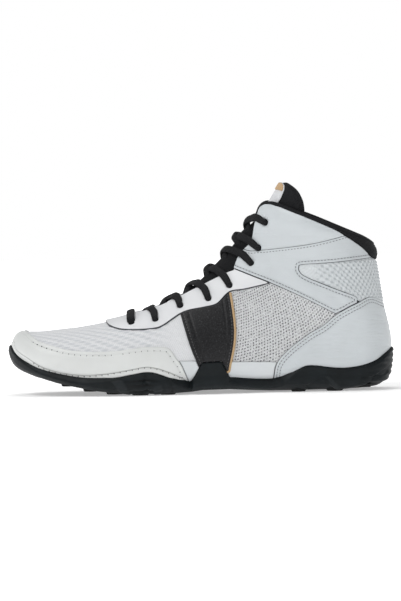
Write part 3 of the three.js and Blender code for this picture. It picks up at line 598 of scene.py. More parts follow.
def make_mesh(name, points, tris, material, uv=None, depth=None):
    tris = merged(points, tris)
    used, which = np.unique(tris, return_inverse=True)
    points, tris = points[used], which.reshape(-1, 3)
    uv = None if uv is None else uv[used]
    depth = None if depth is None else depth[used]
    corner = points[tris]
    if np.einsum("ij,ij->", corner[:, 0], np.cross(corner[:, 1], corner[:, 2])) < 0:
        tris = tris[:, ::-1]
    mesh = bpy.data.meshes.new(name)
    mesh.vertices.add(len(points))
    mesh.vertices.foreach_set("co", (points * MM).astype(np.float32).ravel())
    mesh.loops.add(tris.size)
    mesh.loops.foreach_set("vertex_index", tris.astype(np.int32).ravel())
    mesh.polygons.add(len(tris))
    mesh.polygons.foreach_set("loop_start", np.arange(0, tris.size, 3, dtype=np.int32))
    mesh.update(calc_edges=True)
    if uv is not None:
        layer = mesh.uv_layers.new(name="millimetres")
        layer.data.foreach_set("uv", uv[tris.ravel()].astype(np.float32).ravel())
    if depth is not None:
        mesh.attributes.new("depth", "FLOAT", "POINT").data.foreach_set(
            "value", depth.astype(np.float32))
    mesh.validate()
    mesh.polygons.foreach_set("use_smooth", np.ones(len(mesh.polygons), bool))
    mesh.set_sharp_from_angle(angle=SMOOTH_ANGLE)
    piece = bpy.data.objects.new(name, mesh)
    bpy.context.collection.objects.link(piece)
    mesh.materials.append(material)
    return piece


def settle(piece, slot, *nodes):
    """Hangs a piece under the root and hides the solids that it stands for. The slot is not used."""
    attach(piece, "root")
    if nodes:
        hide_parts(*nodes)
    print(piece.name, "has", len(piece.data.polygons), "faces")
    return piece


def both_faces(p):
    """The place in millimetres of each corner, for the top and again for the underside."""
    return np.tile(np.stack([p["along"], p["around"]], 1), (2, 1))


def make_shell(name, p, high, low, material, high_lowered=False):
    points, tris = shell(p, high, low, high_lowered)
    depth = np.tile(p["depth"], 2) if "depth" in p else None
    return make_mesh(name, points, tris, material, both_faces(p), depth)


def quarter_round(depth, radius):
    """Rises from 0 at an edge to 1, as a quarter circle does."""
    return np.sqrt(1 - (1 - np.clip(depth / radius, 0, 1)) ** 2)


def rolled(depth, thickness, radius=0.9):
    """The height of a panel that is rounded off over a radius at its edge."""
    return thickness * (0.3 + 0.7 * quarter_round(depth, radius))


def trough(distance, width, depth):
    return -depth * np.exp(-((distance / width) ** 2))


print("shells close with a rim on every open edge")

# %% [markdown]
# A short way to write materials.
# Each finish is a Principled shader with a few texture nodes. Wiring them in the editor is quick
# to try out, and in a script one helper that adds a node and fills its sockets reads best. A
# socket is given a number, or another node's output to be linked to.

# %% Node helpers
def finish(name, roughness, **sockets):
    material = bpy.data.materials.new(name)
    material.use_nodes = True
    shader = material.node_tree.nodes["Principled BSDF"]
    shader.inputs["Roughness"].default_value = roughness
    for key, value in sockets.items():
        shader.inputs[key.replace("_", " ")].default_value = value
    return material


def node(material, kind, inputs, **settings):
    made = material.node_tree.nodes.new("ShaderNode" + kind)
    for key, value in settings.items():
        setattr(made, key, value)
    for key, value in inputs.items():
        if isinstance(value, bpy.types.NodeSocket):
            material.node_tree.links.new(value, made.inputs[key])
        else:
            made.inputs[key].default_value = value
    return made


def math_node(material, operation, *values):
    inputs = dict(enumerate(values))
    return node(material, "Math", inputs, operation=operation).outputs[0]


def tones(material, factor, *stops):
    """A colour ramp: each stop is a place from 0 to 1 and a colour."""
    ramp = node(material, "ValToRGB", {"Fac": factor})
    elements = ramp.color_ramp.elements
    while len(elements) < len(stops):
        elements.new(0.5)
    for element, (place, color) in zip(elements, stops):
        element.position = place
        element.color = (*color, 1)
    return ramp.outputs["Color"]


def blend(material, factor, first, second):
    made = node(material, "Mix", {0: factor}, data_type="RGBA")
    for socket, value in ((made.inputs[6], first), (made.inputs[7], second)):
        if isinstance(value, bpy.types.NodeSocket):
            material.node_tree.links.new(value, socket)
        else:
            socket.default_value = (*value, 1)
    return made.outputs[2]


def bump(material, height, distance_mm, under=None):
    inputs = {"Height": height, "Distance": distance_mm * MM, "Strength": 1.0}
    if under is not None:
        inputs["Normal"] = under
    return node(material, "Bump", inputs).outputs["Normal"]


def dress(material, color, normal, roughness=None):
    shader = material.node_tree.nodes["Principled BSDF"]
    for key, socket in (("Base Color", color), ("Normal", normal), ("Roughness", roughness)):
        if socket is not None:
            material.node_tree.links.new(socket, shader.inputs[key])
    return material


def place_of(material):
    return node(material, "TexCoord", {}).outputs["Object"]


def sheet_place(material, across_mm, around_mm, turned=0.0):
    """The UV map in cells of the given size."""
    flat = node(material, "UVMap", {}, uv_map="millimetres").outputs["UV"]
    spun = node(material, "VectorRotate", {"Vector": flat, "Angle": math.radians(turned)},
                rotation_type="Z_AXIS").outputs["Vector"]
    return node(material, "Mapping", {"Vector": spun, "Scale": (1 / across_mm, 1 / around_mm, 1)},
                ).outputs["Vector"]


def ranged(material, value, start, end, low=0.0, high=1.0):
    """A value from start to end turned into one from low to high, and held there beyond."""
    return node(material, "MapRange", {"Value": value, "From Min": start, "From Max": end,
                                       "To Min": low, "To Max": high}).outputs["Result"]


def cells_of(material, place, scale, randomness, feature="F1"):
    return node(material, "TexVoronoi", {"Vector": place, "Scale": scale, "Randomness": randomness},
                feature=feature).outputs["Distance"]


def noise(material, place, size_mm, detail=3.0):
    return node(material, "TexNoise", {"Vector": place, "Scale": 1 / (size_mm * MM),
                                       "Detail": detail}).outputs["Fac"]


def edge_mask(material, start, end):
    """1 where the depth attribute is start and 0 where it is end. On panels that is near a cut edge;
    on the knit vamp, the quilt and the sole the attribute holds a painted shade instead.
    """
    depth = node(material, "Attribute", {}, attribute_name="depth").outputs["Fac"]
    return ranged(material, depth, start, end, 1.0, 0.0)


print("node helpers ready")

# %% [markdown]
# White leather.
# It is a thin split leather with a smooth polyurethane face: nearly even in colour, with a fine
# pebble grain, a soft shine and a few faint creases. The grain is too fine for geometry, so it is
# bump from cells and noise. The cut edge is painted dark on some panels, which is the thin line
# that outlines them, and the depth attribute puts it exactly on the edge.

# %% White leather
def white_leather(name, light, edge_color, edge_width, wrinkles=0.0):
    material = finish(name, 0.42, Coat_Weight=0.12, Coat_Roughness=0.35)
    place = place_of(material)
    dark = tuple(0.93 * c for c in light)
    cloud = tones(material, noise(material, place, 38, 4), (0.35, dark), (0.65, light))
    smudge = noise(material, place, 9, 6)
    dusty = ranged(material, smudge, 0.62, 0.8, 0.0, 0.22)
    soiled = blend(material, dusty, cloud, tuple(0.8 * c for c in light))
    mask = edge_mask(material, edge_width * 0.6, edge_width)
    color = blend(material, mask, soiled, edge_color)
    pebbles = cells_of(material, place, 1150.0, 1.0, "SMOOTH_F1")
    grain = bump(material, pebbles, 0.07)
    fine = bump(material, noise(material, place, 0.45, 4), 0.05, grain)
    if wrinkles:
        flat = node(material, "Mapping", {"Vector": place, "Scale": (0.13, 0.13, 1)}).outputs[0]
        lines = noise(material, flat, 1.7, 4)
        fine = bump(material, lines, wrinkles, fine)
    return dress(material, color, fine, ranged(material, smudge, 0.0, 1.0, 0.36, 0.52))


# These five whites stand for one white leather, and part of their difference is painted light: each
# tone was set by how bright its panel is under the light, so the eyestay's white is a lit copy, paler
# where light falls from above, and the counter's is a slightly lighter copy of the ankle panels'
# white.
WARM_WHITE = (0.67, 0.685, 0.675)
TOP_LIT_WHITE = (0.71, 0.72, 0.735)
SHELL_WHITE = (0.56, 0.595, 0.615)
SHADED_WHITE = (0.58, 0.617, 0.638)
STRIP_WHITE = (0.64, 0.67, 0.685)
INK = (0.03, 0.034, 0.04)
GREY_EDGE = (0.2, 0.21, 0.22)
PALE_EDGE_SHADE = (0.43, 0.44, 0.435)
# The toe cap's pale grey edge colour is a painted shade, along its edges and in the groove pressed in
# above the rubber.
cap_leather = white_leather("cap_leather", WARM_WHITE, PALE_EDGE_SHADE, 0.4)
stay_leather = white_leather("stay_leather", TOP_LIT_WHITE, INK, 0.62)
panel_leather = white_leather("panel_leather", SHELL_WHITE, INK, 0.5, wrinkles=0.3)
counter_leather = white_leather("counter_leather", SHADED_WHITE, GREY_EDGE, 0.45, wrinkles=0.6)
foxing_leather = white_leather("foxing_leather", STRIP_WHITE, GREY_EDGE, 0.3)
print("white leathers:", len(bpy.data.materials))

# %% [markdown]
# Knit and open mesh.
# The vamp is a close knit with a wave pressed into it: the waves are geometry, and the loops of
# the yarn are bump. The quarter is an open mesh over a dark lining, which shows as a slanting
# grid of dark dots. Real holes that small would take a million faces, so the grid is drawn by
# the shader on the UV map, where it follows the shoe, with a bump that sinks each hole.

# %% Knit, mesh and quilt
def knit(name, light, loop_mm, shade=0.8, depth_mm=0.16, valley_shade=None):
    material = finish(name, 0.85, Specular_IOR_Level=0.2)
    loops = sheet_place(material, loop_mm, loop_mm * 0.8, 18)
    cells = cells_of(material, loops, 1.0, 0.25)
    dark = tuple(shade * c for c in light)
    color = tones(material, cells, (0.3, light), (0.75, dark))
    # The valley colour is a painted shade, laid where the depth attribute is low: in the troughs of
    # the vamp's waves and the valleys of the quilt.
    if valley_shade:
        color = blend(material, edge_mask(material, 0.0, 0.5), color, valley_shade)
    fibre = bump(material, noise(material, place_of(material), 0.4, 2), 0.05)
    up = math_node(material, "SUBTRACT", 1.0, cells)
    return dress(material, color, bump(material, up, depth_mm, fibre))


def open_mesh(name, light, hole, pitch_mm):
    material = finish(name, 0.8, Specular_IOR_Level=0.2)
    cells = sheet_place(material, pitch_mm * 0.8, pitch_mm * 1.2, -18)
    mask = ranged(material, cells_of(material, cells, 1.0, 0.22), 0.12, 0.34)
    strands = sheet_place(material, pitch_mm * 0.5, pitch_mm * 0.47, -32)
    yarn = cells_of(material, strands, 1.0, 0.5)
    threads = tones(material, yarn, (0.2, light), (0.7, tuple(0.72 * c for c in light)))
    color = blend(material, mask, hole, threads)
    deep = bump(material, mask, 0.5)
    return dress(material, color, bump(material, yarn, 0.12, deep))


vamp_knit = knit("vamp_knit", (0.73, 0.74, 0.755), 1.25, valley_shade=(0.56, 0.575, 0.6))
quarter_mesh = open_mesh("quarter_mesh", (0.71, 0.72, 0.73), (0.07, 0.073, 0.08), 1.65)
quilt_cloth = knit("quilt_cloth", (0.62, 0.65, 0.665), 0.7, shade=0.86, depth_mm=0.06,
                   valley_shade=(0.4, 0.43, 0.45))
black_cloth = open_mesh("black_cloth", (0.012, 0.0125, 0.014), (0.002, 0.002, 0.003), 1.5)
lining_cloth = knit("lining_cloth", (0.012, 0.012, 0.014), 0.9, shade=0.5)
bed_cloth = knit("bed_cloth", (0.03, 0.031, 0.034), 1.1, shade=0.55)
binding_cloth = knit("binding_cloth", (0.01, 0.0105, 0.012), 0.8, shade=0.45, depth_mm=0.12)
tongue_cloth = knit("tongue_cloth", (0.66, 0.67, 0.69), 0.9)
print("materials so far:", len(bpy.data.materials))

# %% [markdown]
# Black leather.
# The black panel is a cracked leather with pale specks where its finish has worn off. The cracks
# run along the borders of cells, and the specks are the peaks of a fine noise.

# %% Black leather
black_leather = finish("black_leather", 0.42, Specular_IOR_Level=0.3)
place = place_of(black_leather)
crack = cells_of(black_leather, place, 700.0, 1.0, "DISTANCE_TO_EDGE")
speck = noise(black_leather, place, 0.9, 5)
black = tones(black_leather, speck, (0.4, (0.004, 0.004, 0.005)), (0.62, (0.014, 0.0145, 0.016)),
              (0.78, (0.06, 0.06, 0.064)))
dress(black_leather, black, bump(black_leather, crack, 0.12, bump(black_leather, speck, 0.12)),
      ranged(black_leather, speck, 0.0, 1.0, 0.3, 0.62))

print("materials so far:", len(bpy.data.materials))

# %% [markdown]
# Rubber.
# It is dark blue-grey with the dull bloom of a moulded sole and paler dust low down. It has a
# painted shade in the grooves and a painted highlight on the ribs. The sole's mesh keeps that
# painted light as a shade in the attribute that holds the depth on other pieces, so it follows the
# moulded shape exactly. The studs have no such attribute, so each takes the full painted groove shade.

# %% Rubber
PAINTED_GROOVE_DARK = (0.0005, 0.0008, 0.001)
PAINTED_RIB_HIGHLIGHT = (0.0125, 0.016, 0.018)
DUST = (0.09, 0.095, 0.1)
DUST_HEIGHT = 9
GROOVE_SHADE, PLAIN_SHADE, RIB_SHADE = 0.0, 0.6, 1.5
rubber = finish("rubber", 0.5, Specular_IOR_Level=0.2)
place = place_of(rubber)
low_down = node(rubber, "SeparateXYZ", {"Vector": place}).outputs["Z"]
dust = ranged(rubber, low_down, 0.0, DUST_HEIGHT * MM, 0.25, 0.0)
bloom_and_painted_shade = tones(rubber, noise(rubber, place, 14, 5), (0.3, (0.003, 0.005, 0.006)),
              (0.7, (0.006, 0.0094, 0.0112)))
dusty = math_node(rubber, "MULTIPLY", dust, noise(rubber, place, 3, 5))
grit = bump(rubber, noise(rubber, place, 0.5, 4), 0.06)
painted_groove_mask = edge_mask(rubber, GROOVE_SHADE, PLAIN_SHADE)
rib_and_highlight_mask = edge_mask(rubber, RIB_SHADE, PLAIN_SHADE)
bloom_and_painted_shade = blend(rubber, rib_and_highlight_mask, blend(rubber, painted_groove_mask, bloom_and_painted_shade, PAINTED_GROOVE_DARK), PAINTED_RIB_HIGHLIGHT)
dress(rubber, blend(rubber, dusty, bloom_and_painted_shade, DUST), grit,
      ranged(rubber, noise(rubber, place, 6, 4), 0.0, 1.0, 0.42, 0.62))
print("materials so far:", len(bpy.data.materials))

# %% [markdown]
# Lace and thread.
# The lace is a flat braid: its threads run in a chevron from the middle to both edges, worked out
# from the lace's own UV map. Stitches, punched holes and piping are so small that two tones and a
# fine grain are enough.

# %% Lace and thread
def braid(name, light, dark, pitch_mm):
    material = finish(name, 0.75, Specular_IOR_Level=0.2)
    flat = node(material, "UVMap", {}, uv_map="millimetres").outputs["UV"]
    parts = node(material, "SeparateXYZ", {"Vector": flat})
    slant = math_node(material, "ABSOLUTE", parts.outputs["Y"])
    run = math_node(material, "ADD", parts.outputs["X"], slant)
    wave = math_node(material, "SINE", math_node(material, "MULTIPLY", run, math.tau / pitch_mm))
    height = math_node(material, "MULTIPLY_ADD", wave, 0.5, 0.5)
    color = tones(material, height, (0.2, dark), (0.9, light))
    fuzz = bump(material, noise(material, place_of(material), 0.3, 3), 0.06)
    return dress(material, color, bump(material, height, 0.2, fuzz))


lace_braid = braid("lace_braid", (0.016, 0.0165, 0.018), (0.003, 0.003, 0.004), 1.5)


def plain_thread(name, light, dark):
    material = finish(name, 0.6, Specular_IOR_Level=0.3)
    grain = noise(material, place_of(material), 0.5, 2)
    return dress(material, tones(material, grain, (0.35, dark), (0.65, light)),
                 bump(material, grain, 0.06))


pale_thread = plain_thread("pale_thread", (0.24, 0.25, 0.26), (0.15, 0.155, 0.165))
cap_thread = plain_thread("cap_thread", (0.62, 0.62, 0.6), (0.45, 0.45, 0.44))
# The first of these two dark finishes is the real dark thread on the black panel and also a painted
# shade in the toe cap's stitch holes; the second is a painted shade inside each punched hole.
dark_thread_and_hole_shade = plain_thread("dark_thread_and_hole_shade", (0.09, 0.09, 0.09), (0.06, 0.06, 0.065))
punched_hole_shade = plain_thread("punched_hole_shade", (0.003, 0.003, 0.004), (0.002, 0.002, 0.002))
tan_piping = plain_thread("tan_piping", (0.55, 0.38, 0.22), (0.4, 0.26, 0.13))
print("materials in all:", len(bpy.data.materials))

# %% [markdown]
# Stitches.
# A row of machine stitches is a row of short threads that dive into the leather at both ends.
# They could be instanced on a curve with Geometry Nodes, but the row here follows a line of equal
# depth on the leather, so one array of small closed threads is built along it and joined.

# %% Stitches
def at_stops(points, run, stops):
    """Points of a line, where its length is at each stop."""
    return np.stack([np.interp(stops, run, column) for column in points.T], -1)


def smoothed(points, times):
    """The same points, each drawn a little towards its two neighbours."""
    for _ in range(times):
        points[1:-1] = (points[:-2] + 2 * points[1:-1] + points[2:]) / 4
    return points


def resampled(path, height, pitch, shift=0.0):
    """Places along a path on the leather, one for each stitch."""
    run = run_along(skin(path[:, 0], path[:, 1], height))
    return at_stops(path, run, np.arange(pitch * (0.5 + shift), run[-1] - pitch / 2, pitch))


def tube_faces(rings, corners, count=1):
    """Triangles of closed tubes, each with a corner for its start and one for its end."""
    faces = grid_faces(rings, corners, is_closed=True)
    j = np.arange(corners)
    k = (j + 1) % corners
    start, end, last_ring = rings * corners, rings * corners + 1, (rings - 1) * corners
    caps = [np.stack([np.full(corners, start), k, j], 1),
            np.stack([np.full(corners, end), last_ring + j, last_ring + k], 1)]
    one = np.concatenate([faces, *caps])
    return (one + np.arange(count)[:, None, None] * (rings * corners + 2)).reshape(-1, 3)


def threads(starts, ends, normals, radius):
    """A closed thread from each start to each end, bowed out of the leather."""
    ways = ends - starts
    lengths = np.linalg.norm(ways, axis=1, keepdims=True)
    ways = ways / lengths
    sides = np.cross(ways, normals)
    rings = ((0.0, 0.55, -0.7), (0.25, 1.0, 0.25), (0.75, 1.0, 0.25), (1.0, 0.55, -0.7))
    corners = np.linspace(0, math.tau, 6, endpoint=False)
    points = []
    for share, width, lift in rings:
        middle = starts + ways * lengths * share + normals * lift * radius
        points += [middle + width * radius * (sides * math.cos(c) + normals * math.sin(c))
                   for c in corners]
    points += [starts - normals * radius, ends - normals * radius]
    return np.stack(points, 1).reshape(-1, 3), tube_faces(len(rings), len(corners), len(starts))


def stitch_row(paths, height, pitch=2.4, length=1.75, radius=0.3, shift=0.0, first=1.1, dips=0):
    """The ends and directions of the threads along some paths on the leather."""
    rows = []
    for path in paths:
        stops = resampled(path, height, pitch, shift)
        stops = stops[stops[:, 0] > first]
        if len(stops) < 3:
            continue
        points = skin(stops[:, 0], stops[:, 1], height - dips * toe_dip(*stops.T))
        normals = last_normal(stops[:, 0], stops[:, 1])
        ways = np.gradient(points, axis=0)
        ways /= np.linalg.norm(ways, axis=1, keepdims=True)
        rows.append((points - ways * length / 2, points + ways * length / 2, normals))
    return [np.concatenate(part) for part in zip(*rows)] + [radius]


print("one thread has", len(tube_faces(4, 6)), "triangles")

# %% [markdown]
# Bands and cords.
# The lace, the piping and the tape on the collar are each one soft oval swept along a line. A
# curve object with a bevel would do the same, but here the oval is turned by the normals of the
# last, so it lies flat on the shoe, and its UV map is in millimetres for the braid.

# %% Bands and cords
SQUARENESS = 0.8


def sweep(centres, normals, half_width, half_thick, corners=14):
    """A closed band with a soft oval section along a line, and its UV map in millimetres."""
    ways = np.gradient(centres, axis=0)
    ways /= np.linalg.norm(ways, axis=1, keepdims=True)
    sides = np.cross(ways, normals)
    sides /= np.linalg.norm(sides, axis=1, keepdims=True)
    ups = np.cross(sides, ways)
    angle = np.linspace(0, math.tau, corners, endpoint=False)
    flat = np.sign(np.cos(angle)) * np.abs(np.cos(angle)) ** SQUARENESS
    tall = np.sign(np.sin(angle)) * np.abs(np.sin(angle)) ** SQUARENESS
    wide = np.broadcast_to(half_width, len(centres))[:, None, None]
    thick = np.broadcast_to(half_thick, len(centres))[:, None, None]
    rings = (centres[:, None] + wide * sides[:, None] * flat[:, None]
             + thick * ups[:, None] * tall[:, None])
    points = np.concatenate([rings.reshape(-1, 3), centres[:1], centres[-1:]])
    run = run_along(centres)
    uv = np.stack(np.broadcast_arrays(run[:, None], wide[:, 0] * flat), -1).reshape(-1, 2)
    uv = np.concatenate([uv, [[0, 0]], [[run[-1], 0]]])
    return points, tube_faces(len(centres), corners), uv


def joined(parts):
    """Several closed meshes, each points and triangles, as one."""
    starts = np.cumsum([0] + [len(points) for points, _ in parts[:-1]])
    return (np.concatenate([points for points, _ in parts]),
            np.concatenate([tris + start for start, (_, tris) in zip(starts, parts)]))


print("a band of ten rings has", len(tube_faces(10, 14)), "triangles")

# %% [markdown]
# The knit vamp.
# Under the panels the real upper is one soft tube of cloth. At the toe it is a close knit with
# short embossed waves in staggered rows. The waves are real relief here: a displacement modifier
# would need an image or a texture, while a height that depends on the place on the last follows
# the curve of the foot. The waves fade along the crown and towards the quarter. Where the foot
# bends, the knit gets a few soft creases, listed one by one. It ends a little way under the toe cap.

# %% Vamp
def staggered_waves(along, around, pitch, length, lean):
    """Ridges in rows: 1 on top of a ridge and 0 between, each row half a step along."""
    row_place = (around + lean * along) / pitch
    row = np.floor(row_place)
    u = along / length + 0.5 * (row % 2)
    bend_ = 0.22 * np.sin(math.tau * u)
    across = (row_place - row - 0.5 + bend_) * 2
    ends = 0.5 - 0.5 * np.cos(math.tau * u)
    return np.clip(1 - across**2, 0, 1) * (0.35 + 0.65 * ends)


WAVE_PITCH = 3.1
WAVE_LENGTH = 8.2
WAVE_LEAN = 0.1
WAVE_HEIGHT = 0.6
TOE_DIP = 1.4
UNDER_CAP = 6
CREASES = [[7.6, 0.60, 8.1, 0.93, 3.4, 0.9], [8.5, 0.63, 8.7, 0.80, 2.6, 0.6],
           [9.2, 0.55, 9.5, 0.72, 2.4, 0.5]]


def creases(at, turn, lines):
    """Soft troughs with a ridge beside them, each from [section, turn] to [section, turn]."""
    points = last_point(at, turn)
    total = np.zeros(len(at))
    for at_a, turn_a, at_b, turn_b, width, depth in lines:
        for mirror in (False, True):
            ends = np.array([turn_a, turn_b])
            ends = 1 - ends if mirror else ends
            a, b = last_point(np.array([at_a, at_b]), ends)
            t = np.clip(((points - a) @ (b - a)) / ((b - a) @ (b - a)), 0, 1)
            gap = np.linalg.norm(points - a - t[:, None] * (b - a), axis=1)
            fade = np.sin(math.pi * np.clip(t, 0.02, 0.98)) ** 0.5
            ridge = trough(gap - 1.9 * width, width, depth * 0.35)
            total += fade * (trough(gap, width, depth) - ridge)
    return total


def toe_dip(at, turn):
    """The upper sinks a little along the crown of the toe, where no toes fill it."""
    return TOE_DIP * np.exp(-(((turn - 0.5) / 0.13) ** 2)) * np.clip((8.4 - at) / 1.6, 0, 1)


vamp = panel_patch((0, 12.2, 0.08, 0.92), [BELOW_COLLAR], [THROAT], holes=True, step=RELIEF_NET)
vamp["bare"] = UNDER_CAP - measure(vamp, [TOE_CAP])
cut(vamp, "bare", 0)
vamp = part_above(vamp, "bare")
waves = staggered_waves(vamp["along"], vamp["around"], WAVE_PITCH, WAVE_LENGTH, WAVE_LEAN)
calm = np.clip((11.2 - vamp["at"]) / 1.6, 0, 1)
calm *= 1 - 0.9 * np.exp(-(((vamp["turn"] - 0.5) / 0.06) ** 2))
# Here the depth attribute holds a painted shade: it is low in the troughs between the waves, where the
# knit's valley colour darkens them.
vamp["depth"] = np.maximum(waves, 1 - calm)
relief = WAVE_HEIGHT * waves * calm + creases(vamp["at"], vamp["turn"], CREASES)
relief -= toe_dip(vamp["at"], vamp["turn"])
settle(make_shell("upper_vamp", vamp, relief - 0.15, -2.0, vamp_knit), "mesh", "upper")

# %% [markdown]
# The open mesh of the quarter.
# It is the same tube, further back, in a coarser cloth. Its surface is smooth, and its holes are
# in the material, so a plain fine shell on each side is enough.

# %% Quarter
for side, start, end in (("outer", 0.55, 0.92), ("inner", 0.08, 0.45)):
    quarter = panel_patch((11.4, 18.4, start, end), [BELOW_COLLAR], [THROAT], holes=True,
                          step=PLAIN_NET)
    piece = make_shell("upper_quarter_" + side, quarter, 0.0, -1.2, quarter_mesh)
    settle(piece, "mesh", "upper")

# %% [markdown]
# The lining.
# Inside, a dark padded cloth runs from the toe round to the collar. It gets thicker just below
# the collar, as foam does there, and it is the face that is seen through the foot opening.

# %% Lining
lining = panel_patch((0, COLLAR, 0.5, 1.5), [BELOW_COLLAR], [THROAT], step=HIDDEN_NET)
foam = np.exp(-(((lining["at"] - 23.3) / 1.6) ** 2)) * np.clip(lining["depth"] / 4, 0, 1)
face = mix(-2.1, -0.4, np.clip(lining["at"] - 17.2, 0, 1))
settle(make_shell("upper_lining", lining, face, -WALL - 0.4 - 1.6 * foam, lining_cloth), "lining",
       "upper")

# %% [markdown]
# The white leather panels.
# Each is cut from its outline, has a rolled edge and a shallow groove under its stitch row. The
# thickness comes from the depth, so panels thin towards their edges as skived leather does. The
# toe cap also has a thin line pressed in just above the rubber, where its pale grey edge colour
# lies in the groove as a painted shade.

# %% Toe cap
def seam(depth, at_depth, width=0.55, deep=0.35):
    return trough(depth - at_depth, width, deep)


RIM_LINE = 3.6
RIM_RING = 0.45
CAP_SEAM = 3.0
CAP_SCUFFS = [[4.6, 0.66, 5.6, 0.70, 2.2, 0.25], [9.6, 0.70, 9.3, 0.86, 1.6, 0.3]]
cap = panel_patch((0, 11.2, 0.06, 0.94), [TOE_CAP], [SOLE], rings=(0.3, 0.9, 2.6, 3.4))
cap["from_sole"] = measure(cap, [], [SOLE])
for level in (RIM_LINE - RIM_RING, RIM_LINE, RIM_LINE + RIM_RING):
    cut(cap, "from_sole", level)
scuffs = creases(cap["at"], cap["turn"], CAP_SCUFFS)
cap_high = (rolled(cap["depth"], OVERLAY) + scuffs + seam(cap["depth"], CAP_SEAM)
            - toe_dip(cap["at"], cap["turn"]))
cap_high += seam(cap["from_sole"], RIM_LINE, 0.4, 0.55)
# The depth is made small along the pressed line, so the pale grey edge colour lies in its groove as a
# painted shade.
cap["depth"] = np.minimum(cap["depth"], np.abs(cap["from_sole"] - RIM_LINE))
settle(make_shell("toe_cap_leather", cap, cap_high, -2.0, cap_leather), "white_leather", "toe_cap")
cap["depth"] = measure(cap, [TOE_CAP], [SOLE])

# %% [markdown]
# The heel counter.
# It is a stiff cup of leather round the heel, sewn with two rows of stitches. It creases softly
# at the very back, where a heel pushes it out, so three shallow troughs run across it there.

# %% Heel counter
COUNTER_SEAMS = (2.0, 4.2)
CREASE_SECTIONS = (19.3, 19.8, 20.3)
counter = panel_patch((12.6, 21.6, -0.37, 0.37), [COUNTER], [SOLE],
                      rings=(0.3, 0.9, *COUNTER_SEAMS))
back_wrinkles = sum(trough((counter["at"] - at) * 9, 1.1, 0.16) for at in CREASE_SECTIONS)
near_back = np.exp(-((counter["turn"] / 0.1) ** 2))
counter["sewn"] = measure(counter, [COUNTER])
counter_high = (rolled(counter["depth"], OVERLAY) + back_wrinkles * near_back
                + seam(counter["sewn"], COUNTER_SEAMS[0]) + seam(counter["sewn"], COUNTER_SEAMS[1]))
settle(make_shell("heel_counter_leather", counter, counter_high, -0.4, counter_leather),
       "white_leather", "heel_counter")

# %% [markdown]
# The eyestay.
# It carries the eyelets down both sides of the throat. Its holes are cut through the leather, and
# only its outer edge is painted, so its depth is measured again from that edge for the colour.

# %% Eyestay
stay = panel_patch((7.4, 16.2, 0.2, 0.8), [EYESTAY], [THROAT], holes=True)
stay_high = rolled(stay["depth"], OVERLAY, 0.7)
stay["depth"] = measure(stay, [EYESTAY])
settle(make_shell("eyestay_leather", stay, stay_high, -0.4, stay_leather), "white_leather",
       "eyestay")

# %% [markdown]
# The ankle panels.
# They wrap the shaft on both sides and meet the counter, the eyestay and the tab at the back. A
# second stitched line runs down across each panel, so a groove is laid along it, and below it
# the leather is a little thinner. Under the collar the panel swells a little over its foam.

# %% Ankle panels
PANEL_LINE = curve(side_points([[15.7, 1.1], [15.9, 0.945], [17.5, 0.869], [19.43, 0.772],
                                [22.39, 0.532], [24.34, 0.285], [25.4, 0.1]]))
ABOVE_LINE = np.concatenate([PANEL_LINE, far(0.6, 1.9), far(0.0, 1.9)])
COLLAR_FOAM = 1.3
PANEL_SEAM = 2.3
LINE_SEAM = 1.7
BELOW_LINE = 0.72
ANKLE_CREASES = [[15.0, 0.66, 16.6, 0.74, 2.2, 0.35], [16.0, 0.64, 17.8, 0.72, 2.4, 0.4],
                 [17.0, 0.63, 18.4, 0.78, 2.2, 0.3], [18.6, 0.66, 19.2, 0.8, 2.6, 0.35]]


def forward_share(p):
    """How far forward each corner lies, from 0 at the back line to 1 at the front line."""
    s = section(p["at"])
    points = last_point(p["at"], p["turn"])[:, [0, 2]]
    run = s["front"] - s["back"]
    return np.einsum("ij,ij->i", points - s["back"], run) / np.einsum("ij,ij->i", run, run)


panels = {}
for side, start, end in (("outer", 0.5, 1.0), ("inner", 0.0, 0.5)):
    panel = panel_patch((13.6, COLLAR, start, end), [ANKLE_PANEL, BELOW_COLLAR],
                        [SOLE, THROAT, HEEL_TAB, COUNTER, EYESTAY, WINDOW], holes=True)
    panel["sewn"] = measure(panel, [ANKLE_PANEL], [COUNTER, EYESTAY, WINDOW])
    points = last_point(panel["at"], panel["turn"])
    normals = last_normal(panel["at"], panel["turn"])
    panel["line"] = distance_to(points, normals, ABOVE_LINE, True)
    for level in (-0.35, 0.0, 0.35):
        cut(panel, "line", level)
    above = np.clip(panel["line"] / 0.7 + 0.5, 0, 1)
    below_edge = (COLLAR - panel["at"]) * mix(10.5, 2.4, forward_share(panel))
    foam = COLLAR_FOAM * np.exp(-(((below_edge - 9) / 6) ** 2)) * np.clip(panel["depth"] / 3, 0, 1)
    foam *= np.clip((panel["line"] - 0.5) / 7, 0, 1)
    high = (rolled(panel["depth"], OVERLAY) * mix(BELOW_LINE, 1, above)
            + trough(panel["line"] - 0.1, 0.45, 0.55)
            + seam(panel["sewn"], PANEL_SEAM, 0.5, 0.25) + seam(-panel["line"], LINE_SEAM, 0.5, 0.2)
            + foam + creases(panel["at"], panel["turn"], ANKLE_CREASES))
    # The depth is small along the stitched line as well, so the dark edge colour lies there: partly
    # the painted edge of the upper layer, partly a painted shade in its groove.
    panel["depth"] = np.minimum(panel["sewn"], np.abs(panel["line"]) + 0.22)
    panels[side] = panel
    settle(make_shell("ankle_leather_" + side, panel, high, -0.4, panel_leather), "white_leather",
           "ankle_panel_" + side)

# %% [markdown]
# The quilted window.
# Behind the ankle the panel is cut out, and a thin padded cloth fills the gap. Its quilting is a
# pattern of soft bumps in staggered rows, which fades towards the front of the window. The dark
# of each valley is set a little below and behind it, where the light from above leaves a shadow.

